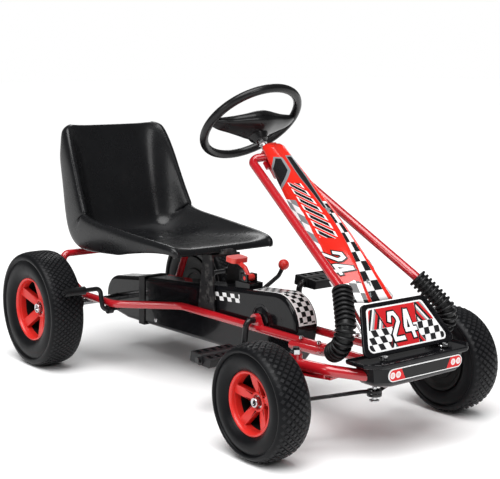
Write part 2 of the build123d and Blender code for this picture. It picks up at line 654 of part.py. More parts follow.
def brake_pads():
    pad = across(PAD_X, PAD_Z, 9, -238, -188) - across(PAD_X, PAD_Z, BRAKE_RADIUS, -300, 0)
    return pad, left(pad)


def brake_clamps():
    clamp = across(BRAKE_X, BRAKE_Z, 10, -REAR_RAIL_Y - 6, -REAR_RAIL_Y + 6)
    rail = Pos(BRAKE_X, -REAR_RAIL_Y, REAR_RAIL_Z) * Rot(0, 90, 0) * Cylinder(RAIL_RADIUS, 90)
    clamp -= rail + across(BRAKE_X, BRAKE_Z, BRAKE_RADIUS + RUNNING_FIT, -200, 0)
    return clamp, left(clamp)


def frame_bolts():
    """Dome-headed screws: two through each stay and rail, one in each king pin plate, two in the nose."""
    bolts = []
    for side in (-1, 1):
        for x in (268, 318):
            bolts.append(Pos(x, side * (RAIL_Y + 7.9), RAIL_Z + 9.5) * Cylinder(4, 5))
        bolts.append(upright(404, side * 118, 3, 134, 146.5))
        bolts.append(Pos(512, side * 74, 179) * Cylinder(6, 6))
    return bolts


# ---- all the parts ------------------------------------------------------------------------------
def pair(parts, name, shape):
    parts[name + "_right"] = shape
    parts[name + "_left"] = left(shape)


def all_parts():
    parts = {}
    rail = side_rail()
    parts["side_rail_right"] = rail
    parts["side_rail_left"] = left(rail) + lever_bracket()
    parts["front_axle_tube"] = front_axle_tube()
    pair(parts, "kingpin_bracket", kingpin_bracket())
    parts["cross_member"] = cross_member()
    pair(parts, "axle_bracket", axle_bracket())
    parts["seat_hoop"] = seat_hoop()
    pair(parts, "stay_tube", stay())
    pair(parts, "stay_boot", boot())
    parts["steering_head"] = steering_head()
    parts["fairing"] = fairing()
    parts["number_panel"] = number_panel()
    parts["nose_bumper"] = bumper()
    parts["light_strip"] = light_strip()
    parts["steering_column"] = steering_column()
    parts["steering_wheel"] = steering_wheel()
    parts["steering_wheel_cap"] = wheel_cap()
    pair(parts, "knuckle", knuckle())
    nuts = knuckle_nuts()
    parts["knuckle_nuts_right"] = Compound(list(nuts))
    parts["knuckle_nuts_left"] = Compound([left(nut) for nut in nuts])
    parts["tie_rod_right"] = tie_rod(TIE_PIN_Z)
    parts["tie_rod_left"] = left(tie_rod(TIE_PIN_Z - 6))
    pair(parts, "front_tyre", front_wheel_place() * tyre(FRONT_RADIUS, FRONT_WIDTH, FRONT_RIM))
    pair(parts, "front_rim", front_wheel_place() * rim(FRONT_RIM, FRONT_WIDTH, STUB_RADIUS + RUNNING_FIT, 15))
    pair(parts, "rear_tyre", rear_wheel_place() * tyre(REAR_RADIUS, REAR_WIDTH, REAR_RIM))
    pair(parts, "rear_rim", rear_wheel_place() * rim(REAR_RIM, REAR_WIDTH, AXLE_RADIUS, 17))
    parts["rear_axle"] = rear_axle()
    parts["axle_nuts"] = Compound(list(axle_nuts()))
    parts["rear_sprocket"] = toothed_wheel(REAR_AXLE_X, REAR_RADIUS, REAR_TEETH, AXLE_RADIUS)
    parts["crank"] = crank()
    parts["chain_wheel"] = toothed_wheel(CRANK_X, CRANK_Z, FRONT_TEETH, CRANK_RADIUS)
    parts["chain"] = chain()
    parts["pedal_right"] = pedal(-1)
    parts["pedal_left"] = pedal(1)
    pair(parts, "chain_case", case_half())
    parts["case_rear_cap"] = Compound([case_rear_cap(), left(case_rear_cap())])
    strap = case_strap()
    parts["case_strap"] = strap + left(strap)
    parts["seat_rail"] = seat_rail()
    parts["seat_slider"] = seat_slider()
    parts["seat_front_post"] = seat_front_post()
    parts["seat_shell"] = seat_shell()
    parts["selector_base"] = selector_base()
    parts["selector_lever"] = selector_lever()
    parts["brake_lever"] = brake_lever()
    parts["brake_grip"] = brake_grip()
    parts["brake_rod"] = brake_rod()
    parts["brake_shaft"] = brake_shaft()
    parts["brake_pads"] = Compound(list(brake_pads()))
    parts["brake_clamps"] = Compound(list(brake_clamps()))
    parts["frame_bolts"] = Compound(frame_bolts())
    return parts


os.makedirs("parts", exist_ok=True)
for name, shape in all_parts().items():
    export_step(shape, os.path.join("parts", name + ".step"))
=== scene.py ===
"""Looks of a child's pedal go kart, made around its CAD frame, laid out as a Blender add-on."""
import json
from math import atan2, cos, hypot, pi, radians, sin, sqrt, tan

import bmesh
import bpy
from mathutils import Matrix, Vector

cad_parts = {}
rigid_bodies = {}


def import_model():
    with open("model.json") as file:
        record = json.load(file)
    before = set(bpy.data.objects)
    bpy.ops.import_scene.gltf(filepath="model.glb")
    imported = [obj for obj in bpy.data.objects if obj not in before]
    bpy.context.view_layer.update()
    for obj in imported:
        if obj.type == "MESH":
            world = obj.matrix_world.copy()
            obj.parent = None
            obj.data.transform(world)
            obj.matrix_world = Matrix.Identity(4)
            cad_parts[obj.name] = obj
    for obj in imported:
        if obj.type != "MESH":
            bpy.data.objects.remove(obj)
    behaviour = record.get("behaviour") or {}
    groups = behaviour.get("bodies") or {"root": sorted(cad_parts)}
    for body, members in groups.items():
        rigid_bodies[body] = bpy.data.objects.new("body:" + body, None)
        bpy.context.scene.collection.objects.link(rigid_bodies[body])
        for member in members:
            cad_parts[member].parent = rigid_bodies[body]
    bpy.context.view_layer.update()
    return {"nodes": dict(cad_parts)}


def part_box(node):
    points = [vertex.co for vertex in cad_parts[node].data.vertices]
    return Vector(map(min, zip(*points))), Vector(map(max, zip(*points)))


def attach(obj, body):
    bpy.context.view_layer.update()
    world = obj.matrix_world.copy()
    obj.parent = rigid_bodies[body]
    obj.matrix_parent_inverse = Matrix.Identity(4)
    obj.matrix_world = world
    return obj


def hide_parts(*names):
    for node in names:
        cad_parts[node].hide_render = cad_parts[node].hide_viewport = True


bl_info = {
    "name": "Pedal Go Kart",
    "version": (1, 0, 0),
    "blender": (4, 5, 0),
    "location": "3D View > Sidebar > Kart",
    "description": "Tyres, rims, bellows, seat, bodywork and finishes of a child's pedal go kart",
    "category": "Object",
}

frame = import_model()
NODES = frame["nodes"]
MM = 0.001
SIDES = (("right", -1), ("left", 1))    # name and the sign of its Y
PRINT_WHITE, PRINT_BLACK = (0.78, 0.78, 0.78), (0.01, 0.01, 0.011)


# ---- shader and geometry maths ------------------------------------------------------------------
class Field:
    """A number that varies over a surface. Python's operators add Math nodes to its tree."""

    def __init__(self, tree, socket):
        self.tree, self.socket = tree, socket

    def math(self, operation, *others, clamp=False):
        settings = {"operation": operation, "use_clamp": clamp}
        node = self.tree.add("ShaderNodeMath", settings, dict(enumerate((self, *others))))
        return Field(self.tree, node.outputs[0])

    def __add__(self, other):
        return self.math("ADD", other)

    def __sub__(self, other):
        return self.math("SUBTRACT", other)

    def __mul__(self, other):
        return self.math("MULTIPLY", other)

    def __truediv__(self, other):
        return self.math("DIVIDE", other)

    def __rsub__(self, other):
        return (self * -1.0) + other

    def __neg__(self):
        return self * -1.0

    def __abs__(self):
        return self.math("ABSOLUTE")

    def __gt__(self, other):
        return self.math("GREATER_THAN", other)

    def __lt__(self, other):
        return self.math("LESS_THAN", other)

    def __and__(self, other):
        return self.math("MINIMUM", other)

    def __or__(self, other):
        return self.math("MAXIMUM", other)

    __radd__ = __add__
    __rmul__ = __mul__

    def clamp(self):
        return self.math("ADD", 0.0, clamp=True)

    def floor(self):
        return self.math("FLOOR")

    def soft_step(self, low, high):
        """0 below low, 1 above high, with a smooth rise between them."""
        settings = {"interpolation_type": "SMOOTHSTEP"}
        node = self.tree.add("ShaderNodeMapRange", settings, {
            "Value": self, "From Min": low, "From Max": high})
        return Field(self.tree, node.outputs["Result"])


def checks(a, b):
    """1 and 0 by turns over squares one unit wide."""
    return (((a.floor() + b.floor()) * 0.5).math("FRACT")) > 0.25


class Tree:
    """A node tree with one way of adding any node."""

    def __init__(self, nodes, links):
        self.nodes, self.links = nodes, links

    def add(self, kind, settings=None, inputs=None):
        node = self.nodes.new(kind)
        for key, value in (settings or {}).items():
            setattr(node, key, value)
        for key, value in (inputs or {}).items():
            self.put(node.inputs[key], value)
        return node

    def put(self, socket, value):
        if isinstance(value, Field):
            value = value.socket
        if isinstance(value, bpy.types.NodeSocket):
            self.links.new(value, socket)
        else:
            socket.default_value = value


class Finish(Tree):
    """One procedural material: shared wear, grain and dust around a Principled shader."""

    def __init__(self, name, color, roughness, metallic=0.0, coat=0.0, coat_roughness=0.05, specular=0.5):
        self.material = bpy.data.materials.new(name)
        self.material.use_nodes = True
        graph = self.material.node_tree
        graph.nodes.clear()
        super().__init__(graph.nodes, graph.links)
        self.material.diffuse_color = (*color[:3], 1)
        self.coords = self.add("ShaderNodeTexCoord")
        self.split = self.add("ShaderNodeSeparateXYZ", None, {0: self.coords.outputs["Object"]})
        self.x, self.y, self.z = (Field(self, self.split.outputs[i]) for i in range(3))
        self.color = self.plain(color)
        self.roughness = roughness
        self.shader = self.add("ShaderNodeBsdfPrincipled", None, {
            "Metallic": metallic, "Coat Weight": coat, "Coat Roughness": coat_roughness,
            "Specular IOR Level": specular})
        self.output = self.add("ShaderNodeOutputMaterial", None, {0: self.shader.outputs[0]})
        self.height = None

    def plain(self, color):
        node = self.add("ShaderNodeRGB")
        node.outputs[0].default_value = (*color[:3], 1)
        return node.outputs[0]

    def uv(self):
        node = self.add("ShaderNodeSeparateXYZ", None, {0: self.coords.outputs["UV"]})
        return Field(self, node.outputs[0]), Field(self, node.outputs[1])

    def noise(self, scale, detail=3.0, stretch=(1, 1, 1), rough=0.55):
        moved = self.add("ShaderNodeMapping", None, {
            "Vector": self.coords.outputs["Object"], "Scale": stretch})
        node = self.add("ShaderNodeTexNoise", None, {
            "Vector": moved.outputs[0], "Scale": scale, "Detail": detail, "Roughness": rough})
        return Field(self, node.outputs["Fac"])

    def cells(self, scale, feature="F1"):
        node = self.add("ShaderNodeTexVoronoi", {"feature": feature}, {
            "Vector": self.coords.outputs["Object"], "Scale": scale})
        return Field(self, node.outputs["Distance"])

    def edges(self, low=0.52, high=0.6):
        """Near 1 on convex edges."""
        node = self.add("ShaderNodeNewGeometry")
        return Field(self, node.outputs["Pointiness"]).soft_step(low, high)

    def mix(self, factor, first, second, blend="MIX"):
        first = self.plain(first) if isinstance(first, tuple) else first
        second = self.plain(second) if isinstance(second, tuple) else second
        node = self.add("ShaderNodeMix", {"data_type": "RGBA", "blend_type": blend}, {
            0: factor, 6: first, 7: second})
        return node.outputs[2]

    def paint(self, mask, color):
        self.color = self.mix(mask, self.color, color)

    def shade(self, field, low=0.85, high=1.12):
        """Darkens and lightens the colour a little."""
        tone = self.add("ShaderNodeCombineXYZ", None, dict(enumerate([field * (high - low) + low] * 3)))
        self.color = self.mix(1.0, self.color, tone.outputs[0], "MULTIPLY")

    def raise_by(self, field, depth):
        """Adds to the bump height, in metres."""
        step = field * depth
        self.height = step if self.height is None else self.height + step

    def done(self):
        self.put(self.shader.inputs["Base Color"], self.color)
        self.put(self.shader.inputs["Roughness"], self.roughness)
        if self.height is not None:
            bump = self.add("ShaderNodeBump", None, {"Strength": 1.0, "Distance": 1.0, "Height": self.height})
            self.put(self.shader.inputs["Normal"], bump.outputs[0])
        return self.material


# ---- finishes -----------------------------------------------------------------------------------
def scuffed(finish, base, spread, scale=60.0):
    """Roughness with smears and fine scratches."""
    smear = finish.noise(scale, 4.0)
    scratch = finish.noise(scale * 6, 2.0, (1.0, 9.0, 1.0)).soft_step(0.62, 0.72)
    finish.roughness = (smear * spread + (base - spread / 2) + scratch * 0.08).clamp()


def red_tube_paint(colors):
    made = Finish("red_tube_paint", colors.tube_red, 0.2, coat=0.55, coat_roughness=0.06, specular=0.55)
    made.shade(made.noise(14, 4), 0.86, 1.1)
    made.raise_by(made.noise(520, 2), 0.00003)
    made.paint(made.edges(0.56, 0.66) * made.noise(90, 3).soft_step(0.55, 0.7) * 0.6, (0.03, 0.004, 0.004))
    scuffed(made, 0.2, 0.14)
    return made.done()


def moulded_red(colors):
    made = Finish("moulded_red", colors.rim_red, 0.33, specular=0.5)
    made.shade(made.noise(30, 4), 0.9, 1.08)
    made.raise_by(made.noise(900, 3), 0.00004)
    made.paint(made.edges(0.55, 0.68) * 0.35, (0.95, 0.35, 0.25))
    scuffed(made, 0.32, 0.16, 40)
    return made.done()


def black_paint():
    made = Finish("black_paint", (0.008, 0.008, 0.009), 0.25, coat=0.2, specular=0.25)
    made.paint(made.edges(0.56, 0.68) * made.noise(70, 3).soft_step(0.5, 0.7) * 0.7, (0.11, 0.105, 0.1))
    made.raise_by(made.noise(600, 2), 0.00003)
    scuffed(made, 0.3, 0.2)
    return made.done()


def bright_zinc():
    made = Finish("bright_zinc", (0.62, 0.62, 0.63), 0.2, metallic=1.0)
    made.shade(made.noise(120, 4), 0.72, 1.1)
    made.raise_by(made.noise(1500, 2), 0.00002)
    scuffed(made, 0.22, 0.2, 90)
    return made.done()


def oiled_steel():
    made = Finish("oiled_steel", (0.2, 0.19, 0.18), 0.35, metallic=1.0)
    made.shade(made.noise(200, 4), 0.5, 1.1)
    made.raise_by(made.noise(900, 2), 0.00003)
    scuffed(made, 0.4, 0.2, 90)
    return made.done()


def tyre_black():
    made = Finish("tyre_black", (0.0038, 0.004, 0.0048), 0.5, specular=0.13)
    dust = made.noise(26, 5).soft_step(0.5, 0.78)
    made.paint(dust * 0.2, (0.014, 0.014, 0.015))
    made.paint(made.edges(0.53, 0.62) * 0.4, (0.03, 0.03, 0.032))
    made.raise_by(made.noise(700, 4), 0.00007)
    made.roughness = (made.noise(55, 4) * 0.22 + 0.3 + dust * 0.12).clamp()
    return made.done()


def bellows_black():
    made = Finish("bellows_black", (0.006, 0.006, 0.0065), 0.33, specular=0.26)
    made.shade(made.noise(60, 3), 0.8, 1.3)
    made.raise_by(made.noise(1100, 3), 0.00004)
    made.roughness = (made.noise(70, 4) * 0.2 + 0.24).clamp()
    return made.done()


def gloss_black(colors):
    made = Finish("gloss_black", colors.case_black, 0.1, coat=0.2, coat_roughness=0.03, specular=0.12)
    dust = made.noise(40, 6).soft_step(0.55, 0.8) * 0.18
    made.paint(dust, (0.05, 0.05, 0.052))
    made.raise_by(made.noise(45, 2), 0.0001)
    made.roughness = (made.noise(32, 4) * 0.14 + 0.07 + dust).clamp()
    return made.done()


def case_black(colors):
    """Gloss black with the two printed check strips."""
    made = Finish("case_black", colors.case_black, 0.12, coat=0.2, coat_roughness=0.03, specular=0.12)
    made.raise_by(made.noise(38, 2), 0.00014)
    white, black = (0.82, 0.82, 0.82), (0.008, 0.008, 0.008)
    across = abs(made.y)
    lean = made.z - made.x * 0.08
    square = 0.0085
    pattern = checks((made.x + made.z * 0.35) * (0.62 / square), (lean - 0.1855) * (1 / square))
    side = (across > 0.0262) & (made.x > -0.067) & (made.x < 0.056) & (lean > 0.1855) & (lean < 0.2025)
    made.paint(side, made.mix(pattern, white, black))
    ahead, above = made.x - 0.171, made.z - 0.167
    arc = ahead.math("ARCTAN2", above).math("MAXIMUM", 0.0) * 0.061
    along = (ahead & 0.0) + arc
    grid = checks(along * (1 / 0.0105) + 40.0, made.y * (1 / 0.0105) + 40.0)
    strip = (across < 0.0215) & (along > -0.081) & (along < 0.09) & (made.z > 0.12)
    edge = (across > 0.0185) | (along < -0.078) | (along > 0.087)
    made.paint(strip, made.mix(edge, made.mix(grid, white, black), white))
    dust = made.noise(40, 6).soft_step(0.55, 0.8) * 0.16
    made.roughness = (made.noise(30, 4) * 0.14 + 0.08 + dust).clamp()
    return made.done()


def satin_black():
    made = Finish("satin_black", (0.008, 0.008, 0.009), 0.42, specular=0.2)
    made.shade(made.noise(30, 4), 0.8, 1.25)
    made.raise_by(made.cells(420), 0.00012)
    made.paint(made.edges(0.54, 0.66) * 0.3, (0.06, 0.06, 0.06))
    scuffed(made, 0.42, 0.18)
    return made.done()


def wheel_black():
    """Smooth moulded black of the steering wheel, with duller and glossier patches all over."""
    made = Finish("wheel_black", (0.0055, 0.0055, 0.006), 0.25, coat=0.12, specular=0.22)
    made.shade(made.noise(40, 4), 0.8, 1.25)
    made.raise_by(made.noise(700, 3), 0.00003)
    made.roughness = (made.noise(24, 4) * 0.26 + 0.17).clamp()
    return made.done()


def seat_black(colors):
    made = Finish("seat_black", colors.seat_black, 0.3, specular=0.22, coat=0.1, coat_roughness=0.15)
    grain = made.cells(330)
    made.raise_by(grain, 0.00012)
    made.shade(made.noise(16, 5), 0.78, 1.25)
    made.paint(made.noise(24, 5).soft_step(0.56, 0.78) * 0.12, (0.03, 0.03, 0.03))
    scuffed(made, 0.28, 0.16, 30)
    return made.done()


# Painted shade: a near-black finish for the well behind the rims, standing in for the shade inside the wheels.
def painted_shade_well():
    made = Finish("painted_shade_well", (0.006, 0.006, 0.006), 0.6, specular=0.2)
    made.shade(made.noise(50, 3), 0.7, 1.2)
    made.raise_by(made.noise(500, 3), 0.00005)
    return made.done()


def nose_print():
    """Capsule plate: white border, black middle, red ends with two lamps each."""
    made = Finish("nose_print", (0.006, 0.006, 0.006), 0.2, coat=0.2, specular=0.15)
    middle_z, straight_half, border_from, lamp, lamp_glass = 0.155, 0.0775, 0.0094, 0.0056, 0.0034
    across = abs(made.y)
    z = made.z - middle_z
    beyond = (across - straight_half).math("MAXIMUM", 0.0)
    radial = (beyond * beyond + z * z).math("SQRT")
    red = (across - z * 0.5) > 0.0545
    made.paint(red, (0.62, 0.012, 0.014))
    for centre in (0.0665, 0.0795):
        off = across - centre
        round_ = (off * off + z * z).math("SQRT")
        made.paint(round_ < lamp, (0.78, 0.76, 0.76))
        made.paint(round_ < lamp_glass, (0.78, 0.5, 0.48))
    made.paint(radial > border_from, PRINT_WHITE)
    made.raise_by(made.noise(300, 2), 0.00002)
    made.roughness = (made.noise(50, 3) * 0.16 + 0.12).clamp()
    return made.done()


def plate_print():
    """The number plate's print: checks in the lower corners, slanted bands above, red behind the digits."""
    middle_red, middle_half, tile = (0.52, 0.012, 0.016), 0.036, 0.0125
    made = Finish("plate_print", (0.55, 0.012, 0.016), 0.2, coat=0.6)
    u, v = made.uv()
    side = abs(u)
    white, black, grey = (0.8, 0.8, 0.8), PRINT_BLACK, (0.3, 0.31, 0.32)
    lean = side * 0.9 + v * 0.55
    bands = (lean * 55.0 + (u > 0.0) * 0.35).math("FRACT")
    made.paint(bands > 0.3, grey)
    made.paint(bands > 0.52, white)
    made.paint(bands > 0.72, black)
    made.paint((side - v * 0.3) < middle_half, middle_red)
    made.paint(abs(side - v * 0.3 - (middle_half + 0.002)) < 0.0016, black)
    tiles = checks((side - v * 0.22) * (1 / tile) + 40.0, (v + 3 * tile) * (1 / tile) + 40.0)
    corner = (v < 0.0005) & ((side + v * 0.55) > 0.0225)
    made.paint(corner, made.mix(tiles, white, black))
    rim = made.add("ShaderNodeAttribute", {"attribute_name": "border"}).outputs["Fac"]
    made.paint(Field(made, rim) > 0.5, (0.84, 0.84, 0.84))
    made.raise_by(made.noise(260, 2), 0.00002)
    made.roughness = (made.noise(45, 3) * 0.16 + 0.1).clamp()
    return made.done()


def fairing_print(colors):
    """Orange-red cover: a row of bars, checks along the middle and the rear edges, dark patches above."""
    made = Finish("fairing_print", colors.fairing_red, 0.16, coat=0.3, coat_roughness=0.03, specular=0.3)
    u, v = made.uv()
    white, black, grey = PRINT_WHITE, PRINT_BLACK, (0.2, 0.22, 0.23)
    ridge = abs(u)
    face = ridge > 0.34
    brush = made.noise(34, 4, (1, 1, 0.4))
    rough = (brush - 0.5) * 0.1
    wedge = abs(ridge - 0.5 - (0.93 - v) * 2.4) + abs(v - 0.85) * 1.6
    made.paint(face & (wedge < 0.3) & (v < 0.94), grey)
    made.paint(face & (wedge < 0.22) & (v < 0.93), black)
    across = abs(ridge - 0.56)
    lean = v - (ridge - 0.5) * 0.22
    bars = ((lean * 19.0).math("FRACT") - 0.5).math("ABSOLUTE")
    row = face & (v > 0.4) & (v < 0.76)
    made.paint(row & (across < 0.15) & (bars < 0.33), white)
    made.paint(row & (across < 0.12) & (bars < 0.25), black)
    blocks = checks(lean * 17.0 + 40.0, (ridge - 0.72) * 6.0 + 40.0)
    rear = face & ((ridge + rough) > 0.77) & (v > 0.1) & (v < 0.64)
    made.paint(rear, made.mix(blocks, white, grey))
    low = face & ((v + rough) < 0.12)
    made.paint(low, made.mix(checks(u * 7.0 + 40.0, v * 17.0 + 40.0), white, black))
    strip = ridge < 0.235
    made.paint(strip & (v < 0.64), made.mix(checks(u * 4.3 + 40.0, v * 16.0 + 40.0), white, black))
    made.paint(strip & (v < 0.64) & (brush > 0.66), grey)
    sweep = abs(u - (v - 0.8) * 1.1) + (v - 0.8).math("ABSOLUTE") * 0.5
    made.paint((ridge < 0.34) & (v > 0.6) & (v < 0.95) & (sweep < 0.26), grey)
    made.paint((ridge < 0.34) & (v > 0.6) & (v < 0.94) & (sweep < 0.2), black)
    made.raise_by(made.noise(18, 2), 0.0002)
    made.roughness = (made.noise(30, 4) * 0.16 + 0.07).clamp()
    return made.done()


def flat_ink(name, color):
    made = Finish(name, color, 0.25, coat=0.15, specular=0.2)
    made.shade(made.noise(40, 3), 0.93, 1.04)
    made.raise_by(made.noise(300, 2), 0.00002)
    made.roughness = (made.noise(45, 3) * 0.15 + 0.15).clamp()
    return made.done()


FINISHES = {}


def finish(name):
    """The material of that name, made once."""
    if name not in FINISHES:
        colors = bpy.context.scene.kart_colours
        makers = {
            "red_tube_paint": lambda: red_tube_paint(colors), "moulded_red": lambda: moulded_red(colors),
            "black_paint": black_paint, "bright_zinc": bright_zinc, "oiled_steel": oiled_steel,
            "tyre_black": tyre_black, "bellows_black": bellows_black, "satin_black": satin_black,
            "gloss_black": lambda: gloss_black(colors), "case_black": lambda: case_black(colors),
            "seat_black": lambda: seat_black(colors), "painted_shade_well": painted_shade_well, "nose_print": nose_print,
            "plate_print": plate_print, "fairing_print": lambda: fairing_print(colors),
            "white_ink": lambda: flat_ink("white_ink", (0.82, 0.82, 0.82)),
            "black_ink": lambda: flat_ink("black_ink", (0.01, 0.01, 0.01)),
            "wheel_black": wheel_black,
        }
        FINISHES[name] = makers[name]()
    return FINISHES[name]


# ---- mesh helpers -------------------------------------------------------------------------------
def piece(name, verts, faces, finish_name, body, slot, smooth=40.0):
    """A mesh object at the origin that rides on a body."""
    mesh = bpy.data.meshes.new(name)
    mesh.from_pydata([tuple(v) for v in verts], [], faces)
    mesh.materials.append(finish(finish_name))
    made = bpy.data.objects.new(name, mesh)
    bpy.context.scene.collection.objects.link(made)
    if smooth:
        soften(made, smooth)
    if body:
        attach(made, body)
    return made


def soften(made, angle):
    made.data.polygons.foreach_set("use_smooth", [True] * len(made.data.polygons))
    made.data.set_sharp_from_angle(angle=radians(angle))


def lathe(profile, steps, centre, outward):
    """Turns a closed (radius, depth) loop about the Y axis. outward is -1 for the right-hand side."""
    verts, faces = [], []
    count = len(profile)
    for i in range(steps):
        turn = 2 * pi * i / steps
        for r, depth in profile:
            verts.append(centre + Vector((r * cos(turn), outward * depth, r * sin(turn))))
    for i in range(steps):
        here, there = i * count, (i + 1) % steps * count
        for j in range(count):
            k = (j + 1) % count
            face = (here + j, here + k, there + k, there + j)
            faces.append(face if outward < 0 else face[::-1])
    return verts, faces


def enclosed_volume(verts, faces):
    """Six times the volume inside a closed shell, positive if its faces point outwards."""
    total = 0.0
    for face in faces:
        a = verts[face[0]]
        for i in range(1, len(face) - 1):
            total += a.dot(verts[face[i]].cross(verts[face[i + 1]]))
    return total


def outward_faces(verts, faces):
    return faces if enclosed_volume(verts, faces) > 0 else [f[::-1] for f in faces]


def rounded_path(points, radii, spacing=3.0):
    """Points along straight runs joined by arcs, in metres. points and radii are in millimetres."""
    points = [Vector(p) for p in points]
    path = [points[0]]
    for before, corner, after, radius in zip(points, points[1:], points[2:], radii):
        a, b = (before - corner).normalized(), (after - corner).normalized()
        half = a.angle(b) / 2
        reach = radius / tan(half)
        start, end = corner + a * reach, corner + b * reach
        middle = corner + (a + b).normalized() * (radius / sin(half))
        swing = pi - 2 * half
        steps = max(4, int(swing * radius / spacing))
        for i in range(steps + 1):
            share = swing * i / steps
            way = (start - middle) * sin(swing - share) + (end - middle) * sin(share)
            path.append(middle + way / sin(swing))
    path.append(points[-1])
    return [p * MM for p in path]


def swept(path, radii, sides):
    """A closed tube along a path, with one radius for each point."""
    verts, faces = [], []
    side = None
    for i, p in enumerate(path):
        ahead = (path[min(i + 1, len(path) - 1)] - path[max(i - 1, 0)]).normalized()
        side = (side or ahead.orthogonal()) - ahead * (side or ahead.orthogonal()).dot(ahead)
        side.normalize()
        up = ahead.cross(side)
        for j in range(sides):
            turn = 2 * pi * j / sides
            verts.append(p + (side * cos(turn) + up * sin(turn)) * radii[i])
    for i in range(len(path) - 1):
        for j in range(sides):
            k = (j + 1) % sides
            faces.append((i * sides + j, i * sides + k, (i + 1) * sides + k, (i + 1) * sides + j))
    faces.append(tuple(range(sides))[::-1])
    faces.append(tuple((len(path) - 1) * sides + j for j in range(sides)))
    return verts, outward_faces(verts, faces)


def lofted(rings, closed_ends=True):
    """Joins rings of the same number of points."""
    count = len(rings[0])
    verts = [p for ring in rings for p in ring]
    faces = []
    for i in range(len(rings) - 1):
        for j in range(count):
            k = (j + 1) % count
            faces.append((i * count + j, i * count + k, (i + 1) * count + k, (i + 1) * count + j))
    if closed_ends:
        faces.append(tuple(range(count))[::-1])
        faces.append(tuple((len(rings) - 1) * count + j for j in range(count)))
    return verts, outward_faces(verts, faces)


def eased(table, t):
    """Smooth value from a table of (position, value, ...) rows."""
    rows = sorted(table)
    if t <= rows[0][0]:
        return rows[0][1:]
    for i in range(len(rows) - 1):
        a, b = rows[i], rows[i + 1]
        if t <= b[0]:
            before = rows[i - 1] if i else a
            after = rows[i + 2] if i + 2 < len(rows) else b
            s = (t - a[0]) / (b[0] - a[0])
            out = []
            for k in range(1, len(a)):
                left = (b[k] - before[k]) / (b[0] - before[0]) * (b[0] - a[0])
                right = (after[k] - a[k]) / (after[0] - a[0]) * (b[0] - a[0])
                out.append((2 * s**3 - 3 * s**2 + 1) * a[k] + (s**3 - 2 * s**2 + s) * left
                           + (3 * s**2 - 2 * s**3) * b[k] + (s**3 - s**2) * right)
            return tuple(out)
    return rows[-1][1:]


# ---- Geometry Nodes -----------------------------------------------------------------------------
class Geometry(Tree):
    """A Geometry Nodes tree with named inputs, ending in Realize Instances and Set Material."""

    def __init__(self, name, sizes):
        self.group = bpy.data.node_groups.new(name, "GeometryNodeTree")
        face = self.group.interface
        face.new_socket("Geometry", in_out="OUTPUT", socket_type="NodeSocketGeometry")
        face.new_socket("Geometry", in_out="INPUT", socket_type="NodeSocketGeometry")
        self.ids = {}
        for label, default in sizes.items():
            kind = "NodeSocketInt" if isinstance(default, int) else "NodeSocketFloat"
            socket = face.new_socket(label, in_out="INPUT", socket_type=kind)
            socket.default_value = default
            self.ids[label] = socket.identifier
        self.sizes = sizes
        super().__init__(self.group.nodes, self.group.links)
        self.inputs = self.add("NodeGroupInput")
        self.outputs = self.add("NodeGroupOutput")

    def size(self, label):
        return Field(self, self.inputs.outputs[label])

    def finish_with(self, parts, material):
        joined = self.add("GeometryNodeJoinGeometry")
        for part in reversed(parts):
            self.links.new(part, joined.inputs[0])
        real = self.add("GeometryNodeRealizeInstances", None, {0: joined.outputs[0]})
        painted = self.add("GeometryNodeSetMaterial", None, {
            "Geometry": real.outputs[0], "Material": material})
        self.links.new(painted.outputs[0], self.outputs.inputs[0])

    def vector(self, x, y, z):
        return self.add("ShaderNodeCombineXYZ", None, {0: x, 1: y, 2: z}).outputs[0]

    def bake(self, made, values=None):
        """Runs the tree on an object and leaves a plain mesh."""
        modifier = made.modifiers.new("pattern", "NODES")
        modifier.node_group = self.group
        for label, value in {**self.sizes, **(values or {})}.items():
            modifier[self.ids[label]] = value
        graph = bpy.context.evaluated_depsgraph_get()
        graph.update()
        mesh = bpy.data.meshes.new_from_object(made.evaluated_get(graph))
        made.modifiers.clear()
        made.data = mesh
        used = [m for m in mesh.materials if m]
        mesh.materials.clear()
        for material in used:
            mesh.materials.append(material)
        mesh.polygons.foreach_set("material_index", [0] * len(mesh.polygons))
        return made


